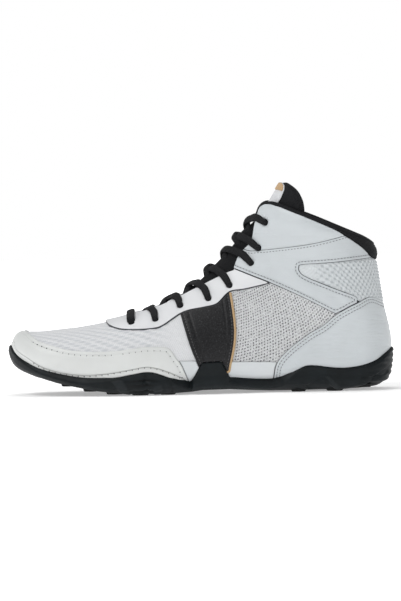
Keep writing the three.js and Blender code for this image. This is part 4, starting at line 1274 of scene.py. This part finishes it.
# %% Quilted window
QUILT_WIDTH = 2.7
QUILT_ROW = 2.4
QUILT_HEIGHT = 1.7
SHAFT_GIRTH = 260
QUILT_FRONT, QUILT_FULL = 76, 90
UNDER_PANELS = 1.6
window = panel_patch((18.2, 24.4, -0.44, 0.44), [WINDOW], [HEEL_TAB, COUNTER], gap=-0.6,
                     step=RELIEF_NET, rings=(0.3,), more=UNDER_PANELS)
points = last_point(window["at"], window["turn"])
from_back = np.where(window["turn"] % 1 > 0.5, window["turn"] % 1 - 1, window["turn"] % 1)
u = from_back * SHAFT_GIRTH / QUILT_WIDTH
v = points[:, 2] / QUILT_ROW
swell = 0.15 + 0.85 * np.clip((points[:, 0] - QUILT_FRONT) / (QUILT_FULL - QUILT_FRONT), 0, 1)
bumps = 0.5 + 0.5 * np.cos(math.pi * u) * np.cos(math.pi * v)
painted_valley_shadow = 0.5 + 0.5 * np.cos(math.pi * (u + 0.25)) * np.cos(math.pi * (v + 0.35))
window_high = 0.1 + QUILT_HEIGHT * bumps * np.clip((window["depth"] - 1.8) / 1.4, 0, 1) * swell
# The depth attribute holds this painted shadow below and behind each bump, and the quilt cloth's
# valley colour follows it.
window["depth"] = mix(1, painted_valley_shadow, swell)
piece = make_shell("upper_window", window, window_high, -1.2, quilt_cloth)
settle(piece, "mesh", "upper")

# %% [markdown]
# The padded tab at the back of the collar.
# It is foam under black mesh, so it swells to the middle and pulls in at its seam.

# %% Heel tab
TAB_EDGE = 0.6
TAB_SEAM = 1.8
tab = panel_patch((23.2, 25.2, -0.32, 0.32), [HEEL_TAB, BELOW_COLLAR], step=0.8,
                  rings=(0.3, 0.9, TAB_SEAM))
tab_high = TAB_EDGE + (PADDING - TAB_EDGE) * quarter_round(tab["depth"], 5)
tab_high += seam(tab["depth"], TAB_SEAM, 0.5, 0.3)
piece = make_shell("heel_tab_padding", tab, tab_high, -0.4, black_cloth)
settle(piece, "padding", "heel_tab")

# %% [markdown]
# The black panel across the waist and the two strips beside it.
# The panel is a cracked leather with a row of punched dots along its front edge and a tan
# piping along its rear edge. The strips close the gap down to the sole.

# %% Saddles and foxing strips
SADDLE_SEAM = 2.2
SADDLE_FOLD = 6.4
saddles = {}
for side, start, end in (("outer", 0.5, 0.96), ("inner", 0.04, 0.5)):
    saddle = panel_patch((10.3, 13.7, start, end), [SADDLE_PANEL], [SOLE, EYESTAY, THROAT],
                         step=0.8, rings=(0.3, 0.9, SADDLE_SEAM))
    saddle["own"] = measure(saddle, [SADDLE_PANEL])
    high = (rolled(saddle["depth"], SADDLE + CLEARANCE)
            + seam(saddle["own"], SADDLE_SEAM, 0.5, 0.25) + seam(saddle["own"], SADDLE_FOLD, 0.7, 0.3))
    saddles[side] = saddle
    settle(make_shell("saddle_leather_" + side, saddle, high, -0.4, black_leather),
           "black_leather", "saddle_" + side)
    for name, outline, others, first, last_at in (
            ("rear", REAR_FOXING, [COUNTER, SADDLE_PANEL], 11.6, 13.8),
            ("front", FRONT_FOXING, [TOE_CAP, SADDLE_PANEL], 10.3, 11.5)):
        strip = panel_patch((first, last_at, start, end), [outline], [SOLE, *others], step=0.8)
        settle(make_shell(f"foxing_{name}_{side}", strip, rolled(strip["depth"], OVERLAY), -0.4,
                          foxing_leather), "white_leather", f"{name}_foxing_{side}")

# %% [markdown]
# The tongue.
# It is a long padded strip that curls round the shin, black mesh at its sides and inside, with a
# white cloth face down the middle. The pad sinks a little between the sides of the throat.

# %% Tongue
TONGUE_START, TONGUE_SHOULDER, TONGUE_TOP = 8.5, 25.0, LAST_SECTION - 0.2
TONGUE_TAPER, TONGUE_RIM = 0.85, 0.45
TONGUE_LEAN = 2.4
TONGUE_SEAM = 2.8
TONGUE_CORNER = 6.0
MM_PER_SECTION = 10.5
FACE_SHARES = (0.5, 0.66)
FACE_SEAM = 1.5


def tongue_face(at):
    """How high the middle of the tongue lies, from the skin of the last."""
    sunk = -(WALL + CLEARANCE + value_at("sink", at) * TONGUE_THICKNESS)
    puffed = np.clip((at - 10.5) / 3.0, 0, 1) * np.clip((20.5 - at) / 3.5, 0, 1)
    puffed = puffed * puffed * (3 - 2 * puffed)
    return mix(sunk, 1.2, puffed)


def above_collar(at):
    return np.clip((at - TONGUE_SHOULDER) / (LAST_SECTION - TONGUE_SHOULDER), 0, 1)


def tongue_top(p):
    """The front of the pad: it follows tongue_face in the middle, and leans out at the top."""
    hollow = np.clip(1 - (p["from_crown"] / 21) ** 2, 0, 1)
    face = mix(-(WALL + CLEARANCE), tongue_face(p["at"]), hollow)
    return face + TONGUE_LEAN * above_collar(p["at"]) - 0.9


def tongue_patch(first, last_at, shares, step):
    """A strip round the crown. Its shares of the tongue's width are for low down and the top."""
    p = patch(first, last_at, 0.26, 0.74, step)
    above = above_collar(p["at"])
    flare = mix(1.04, 1.2, np.clip(p["at"] - 24, 0, 1))
    width = TONGUE_HALF_WIDTH * flare * np.sqrt(1 - TONGUE_TAPER * above**1.5)
    width = width * mix(*shares, above)
    s = section(p["at"])
    girth = np.linalg.norm(s["front"] - s["back"], axis=1) + 2 * (s["outer"] + s["inner"])
    p["from_crown"] = np.abs(p["turn"] - 0.5) * girth
    from_side = width - p["from_crown"]
    from_top = (last_at - p["at"]) * MM_PER_SECTION
    both = np.maximum(TONGUE_CORNER - np.stack([from_side, from_top]), 0)
    in_corner = (both > 0).all(0)
    p["depth"] = np.where(in_corner, TONGUE_CORNER - np.hypot(*both), np.minimum(from_side, from_top))
    for level in (0, 0.5, FACE_SEAM, TONGUE_SEAM):
        cut(p, "depth", level)
    return part_above(p, "depth")


pad = tongue_patch(TONGUE_START, TONGUE_TOP, (1.0, 1.0), PLAIN_NET)
thick = TONGUE_THICKNESS * mix(TONGUE_RIM, 1, quarter_round(pad["depth"], 5))
puff = np.sqrt(np.clip(pad["depth"] / 4, 0, 1)) * 0.8 + seam(pad["depth"], TONGUE_SEAM, 0.6, 0.5)
top = tongue_top(pad)
under = np.minimum(top + 0.9, TONGUE_LEAN * above_collar(pad["at"]) - WALL) - thick
piece = make_shell("tongue_pad", pad, top + puff, under, black_cloth)
settle(piece, "padding", "tongue")

front = tongue_patch(22.5, TONGUE_TOP - 0.06, FACE_SHARES, PANEL_NET)
front_high = tongue_top(front) + 1.1 + 0.6 * np.sqrt(np.clip(front["depth"] / 2, 0, 1))
front_high += seam(front["depth"], FACE_SEAM)
settle(make_shell("tongue_face", front, front_high, tongue_top(front), tongue_cloth), "mesh",
       "tongue")

tab_shares = [0.95 * share for share in FACE_SHARES]
tongue_tab = tongue_patch(26.0, TONGUE_TOP - 0.1, tab_shares, PANEL_NET)
tab_high = tongue_top(tongue_tab) + 1.6 + 0.8 * np.sqrt(np.clip(tongue_tab["depth"] / 1.2, 0, 1))
piece = make_shell("tongue_tab", tongue_tab, tab_high, tongue_top(tongue_tab) + 0.6, tan_piping)
settle(piece, "mesh", "tongue")

# %% [markdown]
# The collar binding.
# A stretch tape is folded over the raw edge of the collar and down the front edges of the
# throat. It is an oval swept along that edge, fuller at the back, where the foam is thickest.
# Round the back it follows the list that the edge of the collar is cut by, so both dip together.

# %% Collar binding
THROAT_TOP = [[21.0, 0.957], [21.9, 0.966], [22.8, 0.973], [23.6, 0.966], [24.2, 0.953],
              [24.7, 0.932], [24.93, 0.91], [25.0, 0.87]]
BINDING_STEPS = 260
FULL_FROM, FULL_TO = 14, 28


def edge_side(is_inner):
    at = np.array([a for a, _ in THROAT_TOP])
    turn = turn_at(at, np.array([share for _, share in THROAT_TOP]), is_inner)
    return at, turn


outer_at, outer_turn = edge_side(False)
inner_at, inner_turn = edge_side(True)
round_back = np.linspace(outer_turn[-1], 1 + inner_turn[-1], 60)[1:-1]
back_half = np.abs((round_back % 1) - (round_back % 1 > 0.5)) * 2
back_share = half_section(section(np.full(len(round_back), float(COLLAR))), back_half)[1]
back_at = np.interp(back_share, COLLAR_SHARES, COLLAR_SECTIONS) + 0.03
edge_at = np.concatenate([outer_at, back_at, inner_at[::-1]])
edge_turn = np.concatenate([outer_turn, round_back, 1 + inner_turn[::-1]])
beside_throat = np.ones(len(edge_at))
beside_throat[len(outer_at):-len(inner_at)] = 0
at_wall = skin(edge_at, edge_turn, mix(-WALL / 2 + 0.35, -0.1, beside_throat))
run = run_along(at_wall)
stops = np.linspace(0, run[-1], BINDING_STEPS)
centres = smoothed(at_stops(at_wall, run, stops), 4)
normals = last_normal(np.interp(stops, run, edge_at), np.interp(stops, run, edge_turn))
from_end = np.minimum(stops, run[-1] - stops)
fullness = np.clip((from_end - FULL_FROM) / (FULL_TO - FULL_FROM), 0, 1)
points, tris, uv = sweep(centres, normals, mix(1.5, 1.75, fullness), mix(2.0, 2.35, fullness))
settle(make_mesh("collar_binding", points, tris, binding_cloth, uv), "padding", "upper")

# %% [markdown]
# The sole.
# It is one thin moulding: it wraps up at the toe and the heel, and dips at the waist. The rim is
# rolled, and grooves and ribs run down its sides. Its top edge is measured on the lowered
# surface of the last, which is a sole's thickness further down. TREAD says how high its underside
# lies above the floor, from the toe to the heel.

# %% Outsole
GROOVE_DEPTH = 1.1
TOE_BUMPER = 1.3
RIB_HEIGHT = 0.8
SOLE_GROOVES = [
    [[9.3, 0.155], [9.42, 0.155], [9.5, -0.02], [9.36, -0.02]],
    [[10.1, 0.1], [10.2, 0.08], [10.33, -0.03], [10.2, -0.03]],
    [[13.9, 0.0], [14.5, 0.035], [14.72, -0.02], [14.2, -0.045]],
    [[15.9, 0.018], [16.6, 0.01], [17.2, -0.0], [17.8, -0.015], [17.72, -0.03], [17.0, -0.02],
     [16.3, -0.012]],
    [[15.4, -0.04], [15.8, -0.024], [16.2, -0.03], [16.45, -0.048], [16.1, -0.048], [15.7, -0.044]]]
SOLE_RIBS = [
    [[8.2, 0.085], [8.6, 0.105], [8.95, -0.05], [8.75, -0.05]],
    [[9.66, 0.05], [9.9, 0.055], [9.84, -0.1], [9.6, -0.1]],
    [[14.62, 0.04], [14.76, 0.04], [15.0, -0.05], [14.84, -0.055]],
    [[15.5, -0.055], [16.2, -0.052], [16.6, -0.052], [16.6, -0.062], [15.5, -0.066]]]
TREAD = [(-133, 19.5), (-121, 13.9), (-107, 9.6), (-93, 6.5), (-82, 4.2), (-78, 3.3), (-62, 1.6),
         (-50, 0.9), (-22, 0.8), (-8, 1.6), (0, 2.6), (20, 2.8), (40, 1.6), (50, 1.0), (106, 1.0),
         (112, 1.7), (120, 3.2), (128, 9.0)]
BALL_X, BALL_REACH = -43, 13
BALL_RIB_PITCH, BALL_RIB_HEIGHT = 2.1, 0.7
HEEL_RIB_PITCH, HEEL_RIB_HEIGHT = 4.0, 0.4
sole = panel_patch((0, 19.3, -0.38, 0.38), [SOLE], rings=(0.4, 1.0, 2.0), lowered=True, gap=0)
points = last_point(sole["at"], sole["turn"], True)
normals = last_normal(sole["at"], sole["turn"], True)
high = rolled(sole["depth"], FOXING, 1.0)
side_only = np.clip((np.abs(normals[:, 1]) - 0.2) / 0.25, 0, 1)
# shade is painted light for the rubber's colour: low in the grooves, a painted shade, and high on the
# ribs, a painted highlight.
shade = np.full(len(high), PLAIN_SHADE)
for outline in SOLE_GROOVES:
    inside_by = distance_to(points, normals, side_points(outline), True)
    cut_in = np.clip((inside_by + 0.5) / 0.8, 0, 1) * side_only
    high -= GROOVE_DEPTH * cut_in
    shade = np.minimum(shade, 1 - cut_in)
for outline in SOLE_RIBS:
    inside_by = distance_to(points, normals, side_points(outline), True)
    rib_and_highlight_mask = np.clip((inside_by + 0.4) / 0.8, 0, 1) * side_only
    high += RIB_HEIGHT * rib_and_highlight_mask
    shade = np.maximum(shade, PLAIN_SHADE + rib_and_highlight_mask)
fine_ribs = np.sin(math.tau * points[:, 2] / BALL_RIB_PITCH)
at_ball = np.clip(1 - np.abs(points[:, 0] - BALL_X) / BALL_REACH, 0, 1) ** 0.5
at_ball *= np.clip(sole["depth"] - 3, 0, 1)
high += BALL_RIB_HEIGHT * fine_ribs * at_ball * side_only
# The fine ribs at the ball get a painted shade and highlight too.
shade += 0.35 * (fine_ribs - 0.4) * at_ball * side_only
high += TOE_BUMPER * np.clip((-118 - points[:, 0]) / 16, 0, 1) * np.clip(sole["depth"] / 5, 0, 1)
facing_down = np.clip((-normals[:, 2] - 0.3) / 0.4, 0, 1)
under = np.interp(points[:, 0], *np.transpose(TREAD))
most = np.interp(points[:, 0], [-110, -70], [1.4, 3.6])
high += np.clip(points[:, 2] - FOXING - under, 0, most) * facing_down
behind = np.clip((points[:, 0] - 118) / 10, 0, 1)
heel_ribs = np.sin(math.tau * points[:, 2] / HEEL_RIB_PITCH)
high += HEEL_RIB_HEIGHT * heel_ribs * behind * np.clip(sole["depth"] / 2, 0, 1)
# The sole's depth attribute carries this painted shade and highlight.
sole["depth"] = np.clip(shade, GROOVE_SHADE, RIB_SHADE)
settle(make_shell("outsole_rubber", sole, high, -0.5, rubber, True), "rubber", "outsole")

# %% [markdown]
# The studs.
# The tread is rows of six-sided rubber blocks. Each row is a section of the last with the turns
# where its studs stand, so the rows follow the ball and the heel. Blocks this plain need no
# modelling by hand: each is a stack of slightly smaller rings, and all are joined into one mesh.

# %% Studs
STUD_ROWS = [(6.4, 0.045, (0.06, -0.06)), (7.4, 0.05, (0.085, 0.0, -0.085)),
             (8.3, 0.052, (0.09, 0.0, -0.09)), (9.2, 0.052, (0.09, 0.0, -0.09)),
             (10.1, 0.048, (0.085, -0.085)), (13.7, 0.045, (0.08, -0.08)),
             (14.7, 0.05, (0.08, -0.08)), (15.7, 0.048, (0.065, -0.065))]
STUD_ROOT = 2
STUD_PROUD = 0.9
STUD_RINGS = ((0, 1.0), (0.55, 0.97), (0.86, 0.93), (1.0, 0.82))


def stud(place, turn, size):
    """A six-sided block that goes straight down, to the floor or just past the tread."""
    base = skin(np.array([place]), np.array([turn]), FOXING, True)[0]
    foot = max(0, np.interp(base[0], *np.transpose(TREAD)) - STUD_PROUD)
    height = base[2] + STUD_ROOT - foot
    corners = np.repeat(np.linspace(0, math.tau, 6, endpoint=False), 2) + np.tile((-0.1, 0.1), 6)
    points = []
    for share, width in STUD_RINGS:
        reach, up = width * size / 2, STUD_ROOT - share * height
        points += [base + (reach * math.sin(c), reach * math.cos(c), up) for c in corners]
    points += [base + (0, 0, STUD_ROOT), base + (0, 0, STUD_ROOT - height)]
    return np.array(points), tube_faces(len(STUD_RINGS), len(corners))


studs = [stud(place, turn, size * LENGTH) for place, size, turns in STUD_ROWS for turn in turns]
# The studs have no depth attribute, so the rubber gives them its full painted groove shade.
settle(make_mesh("outsole_studs", *joined(studs), rubber), "rubber", "outsole")

# %% [markdown]
# The foot bed.
# A thin foam insole lies on the turned-in edge of the upper. Its underside follows the last and
# its top is level, a little dished in the middle.

# %% Foot bed
gap = WALL + CLEARANCE


def bed_underside(p):
    """The underside of the foot bed, the sole line of the last and the way up from it."""
    s = section(p["at"])
    run = s["front"] - s["back"]
    up = run / np.linalg.norm(run, axis=1, keepdims=True)
    return skin(p["at"], p["turn"], -gap), s["back"], up


bed = patch(3.0, 16.5, -0.3, 0.3, 2.2)
under, sole_line, up = bed_underside(bed)
rise = np.einsum("ij,ij->i", under[:, [0, 2]] - sole_line, up)
bed["depth"] = gap + INSOLE_THICKNESS - rise
cut(bed, "depth", 0)
bed = part_above(bed, "depth")
under, sole_line, up = bed_underside(bed)
dish = np.maximum(0, bed["depth"]) * (1 - 0.1 * np.clip(bed["depth"] / INSOLE_THICKNESS, 0, 1))
over = under + np.stack([up[:, 0], np.zeros(len(up)), up[:, 1]], 1) * dish[:, None]
points, tris = closed(bed["tris"], under, over)
settle(make_mesh("foot_bed", points, tris, bed_cloth, both_faces(bed)), "lining", "insole")

# %% [markdown]
# The lace.
# It is one flat braid. A bar joins the two lowest eyelets, and from there each strand comes up
# through an eyelet, climbs over the edge of the throat and dives under the other side. Each
# strand is swept along its own line on the last, and lies on top of the strand that it crosses.

# %% Lace
LACE_WIDTH = 6.2
LACE_THICKNESS = 2.2
LACE_LIFT = OVERLAY + 2 * CLEARANCE + LACE_THICKNESS / 2
EDGE_SHARE, END_SHARE = 0.95, 0.975
LACE_STEPS, BAR_STEPS = 56, 40
ENDS = [(0.55, 0.0), (0.8, 0.35), (0.85, 1.0)]
HOLE_DEPTH = 2.4


def strand(start, end, is_inner, reach, tuck, over):
    """One strand: out of its eyelet, over the throat's edge and the tongue, and under the other side.

    reach is how far it gets towards the row below, tuck how deep its end dives, and over how much
    higher it lies at the crown than the strand that it crosses.
    """
    first = turn_at([start[0]], start[1], is_inner)[0] + (-0.005 if is_inner else 0.005)
    to = turn_at([end[0]], END_SHARE, not is_inner)[0]
    t = np.linspace(0, 1, LACE_STEPS)
    leaning = np.clip((t - 0.22) / 0.78, 0, 1)
    at = mix(start[0], end[0], (0.15 * t + 0.85 * leaning) * reach)
    turn = mix(first, to, t)
    edge = turn_at(at, EDGE_SHARE, is_inner)
    aside = np.clip((turn - 0.5) / (edge - 0.5), -1, 1)
    on_tongue = tongue_face(at) + 0.5 + LACE_THICKNESS / 2
    on_panel = OVERLAY + 0.15 + LACE_THICKNESS / 2
    past = np.maximum(0, (0.5 - turn) / (0.5 - to)) ** 1.5
    offset = mix(on_panel, np.maximum(on_tongue, on_panel - 3.0), 1 - aside**2)
    offset += over * np.exp(-((turn - 0.5) / 0.03) ** 2) - tuck * past * (OVERLAY + WALL + 1)
    offset = mix(-HOLE_DEPTH, offset, np.clip(t / 0.035, 0, 1))
    centres = skin(at, turn, offset)
    run = run_along(centres)
    stops = np.linspace(0, run[-1], len(t))
    at, turn = np.interp(stops, run, at), np.interp(stops, run, turn)
    centres = smoothed(at_stops(centres, run, stops), 3)
    width = LACE_WIDTH / 2 * mix(0.7, 0.9, np.clip((stops - 3) / 8, 0, 1))
    thick = LACE_THICKNESS / 2 * 1.15
    return sweep(centres, last_normal(at, turn), width, thick)


place, share = EYELETS[0]
turn = np.linspace(turn_at([place], share, False)[0], turn_at([place], share, True)[0], BAR_STEPS)
along = np.abs(np.linspace(-1, 1, BAR_STEPS))
offset = mix(LACE_LIFT, -HOLE_DEPTH, np.clip((along - 0.86) / 0.14, 0, 1) ** 1.5)
at = np.full(BAR_STEPS, place)
points, tris, uv = sweep(skin(at, turn, offset), last_normal(at, turn), LACE_WIDTH / 2,
                         LACE_THICKNESS / 2)
settle(make_mesh("lace_first_bar", points, tris, lace_braid, uv), "lace", "lace_bar")
for number in range(1, len(EYELETS)):
    reach, tuck = ENDS[min(number, len(ENDS)) - 1]
    upper_side = number % 2 == 0
    parts, uvs = [], []
    lift = min(1, number / 4)
    for is_inner in (False, True):
        over = (1.8 if is_inner == upper_side else -0.5) * lift
        points, tris, uv = strand(EYELETS[number], EYELETS[number - 1], is_inner, reach,
                                  max(tuck, 0.7), over)
        parts.append((points, tris))
        uvs.append(uv)
    settle(make_mesh(f"lace_cross_{number}_braid", *joined(parts), lace_braid, np.concatenate(uvs)),
           "lace", f"lace_cross_{number}")

# %% [markdown]
# The piping.
# A thin tan cord is sewn in behind the rear edge of each black panel.

# %% Piping
for side, saddle in saddles.items():
    path = max(trace(saddle, "own", 0.2), key=lambda edge: edge[:, 0].mean())
    path = path[::3]
    at, turn = path.T
    centres = skin(at, turn, 0.75)
    points, tris, uv = sweep(centres, last_normal(at, turn), 1.25, 1.0)
    settle(make_mesh("saddle_piping_" + side, points, tris, tan_piping, uv), "black_leather",
           "saddle_" + side)

# %% [markdown]
# The stitch rows.
# Each row follows a line of equal depth inside its panel, in the groove that the panel has there.
# The toe cap and the counter carry the rows that show most.

# %% Stitch rows
CAP_ROW = 3.2
CAP_PITCH = 4.6
CROWN_END = 4.3
PUNCHED_ROW = 4.3
cap_row = trace(cap, "depth", CAP_ROW)
cap_rows = stitch_row(cap_row, OVERLAY - 0.5, CAP_PITCH, 3.2, 0.22, first=CROWN_END, dips=1)
# Short dark plugs at the ends of the stitches, a painted shade in each stitch hole.
cap_hole_shades = stitch_row(cap_row, OVERLAY - 0.35, CAP_PITCH, 0.6, 0.5, 0.5, first=CROWN_END, dips=1)
counter_rows = [stitch_row(trace(counter, "sewn", depth), OVERLAY - 0.25, radius=0.27)
                for depth in COUNTER_SEAMS]
panel_rows = [stitch_row(trace(panel, "sewn", PANEL_SEAM), OVERLAY - 0.2, 2.5, 1.7, 0.27)
              for panel in panels.values()]
line_rows = [stitch_row(trace(panel, "line", -LINE_SEAM), BELOW_LINE * OVERLAY - 0.15, 2.5, 1.7, 0.27)
             for panel in panels.values()]
saddle_rows = [stitch_row(trace(panel, "own", SADDLE_SEAM), SADDLE + 0.1, radius=0.26)
               for panel in saddles.values()]
# Near-black plugs in the punched row, a painted shade inside each hole.
punched = [stitch_row(trace(panel, "own", PUNCHED_ROW), SADDLE + 0.1, 4.4, 0.7, 0.62)
           for panel in saddles.values()]


def thread_piece(name, rows, material, slot):
    return settle(make_mesh(name, *joined([threads(*row) for row in rows]), material), slot)


thread_piece("stitches_toe_cap", [cap_rows], cap_thread, "white_leather")
thread_piece("stitches_counter", counter_rows, pale_thread, "white_leather")
thread_piece("stitches_ankle", panel_rows + line_rows, pale_thread, "white_leather")
thread_piece("stitch_hole_shades_toe_cap", [cap_hole_shades], dark_thread_and_hole_shade, "white_leather")
thread_piece("stitches_saddle", saddle_rows, dark_thread_and_hole_shade, "black_leather")
thread_piece("punched_hole_shades_saddle", punched, punched_hole_shade, "black_leather")

# %% [markdown]
# The floor and the light.
# The shoe stands on white paper in soft studio light: a big soft lamp above and in front, weaker
# ones beside it and above it from behind, and a surround that is brightest at the level of the
# eye. The paper glows, a painted light that also lights the shoe from below. Its glow is lower
# close to the shoe, a painted shadow, so that a faint grey shadow lies there and the far paper stays
# white.

# %% Floor and light
NEAR_GLOW_SHADE = 0.35
NEAR_PAPER, FAR_PAPER = 200, 900
floor_mesh = bpy.data.meshes.new("floor")
reach = 3000 * MM
floor_mesh.from_pydata([(-reach, -reach, 0), (reach, -reach, 0), (reach, reach, 0),
                        (-reach, reach, 0)], [], [(0, 1, 2, 3)])
floor = bpy.data.objects.new("floor", floor_mesh)
bpy.context.collection.objects.link(floor)
paper = finish("paper", 0.9, Emission_Color=(1, 1, 1, 1))
away = node(paper, "VectorMath", {0: place_of(paper)}, operation="LENGTH").outputs["Value"]
# The glow rises from a painted shadow near the shoe to full white far away.
painted_glow = ranged(paper, away, NEAR_PAPER * MM, FAR_PAPER * MM, NEAR_GLOW_SHADE, 1.0)
paper.node_tree.links.new(painted_glow, paper.node_tree.nodes["Principled BSDF"].inputs["Emission Strength"])
faint = tones(paper, noise(paper, place_of(paper), 300, 2), (0.4, (0.9, 0.9, 0.9)),
              (0.6, (0.93, 0.93, 0.93)))
dress(paper, faint, None)
floor_mesh.materials.append(paper)
floor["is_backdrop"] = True


def lamp(name, x, y, z, size, watts):
    data = bpy.data.lights.new(name, "AREA")
    data.shape = "DISK"
    data.size = size * MM
    data.energy = watts
    made = bpy.data.objects.new(name, data)
    bpy.context.collection.objects.link(made)
    made.location = Vector((x, y, z)) * MM
    toward = Vector((0, 0, 50)) - Vector((x, y, z))
    made.rotation_euler = toward.to_track_quat("-Z", "Y").to_euler()
    return made


lamp("key", -900, -900, 1500, 800, 13)
lamp("fill", 1100, -1100, 500, 900, 0.8)
lamp("top", -100, 500, 1500, 1000, 7)
world = bpy.data.worlds.new("surround")
world.use_nodes = True
sky = world.node_tree.nodes["Background"]
sky.inputs["Color"].default_value = (1, 1, 1, 1)
direction = world.node_tree.nodes.new("ShaderNodeTexCoord")
height = world.node_tree.nodes.new("ShaderNodeSeparateXYZ")
band = world.node_tree.nodes.new("ShaderNodeMapRange")
for key, value in (("From Min", 0.15), ("From Max", 0.4), ("To Min", 1.0), ("To Max", 0.34)):
    band.inputs[key].default_value = value
for start, end in ((direction.outputs["Generated"], height.inputs[0]),
                   (height.outputs["Z"], band.inputs["Value"]),
                   (band.outputs["Result"], sky.inputs["Strength"])):
    world.node_tree.links.new(start, end)
bpy.context.scene.world = world
bpy.context.scene.view_settings.view_transform = "Standard"
bpy.context.scene.view_settings.look = "None"
print("lamps:", len(bpy.data.lights))

# %% [markdown]
# The sizes, and the end.
# The visual model should fill the same box as the solids of the frame, apart from what cloth and
# stitches add. The box of what is shown is measured here.

# %% Finish
low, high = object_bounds()
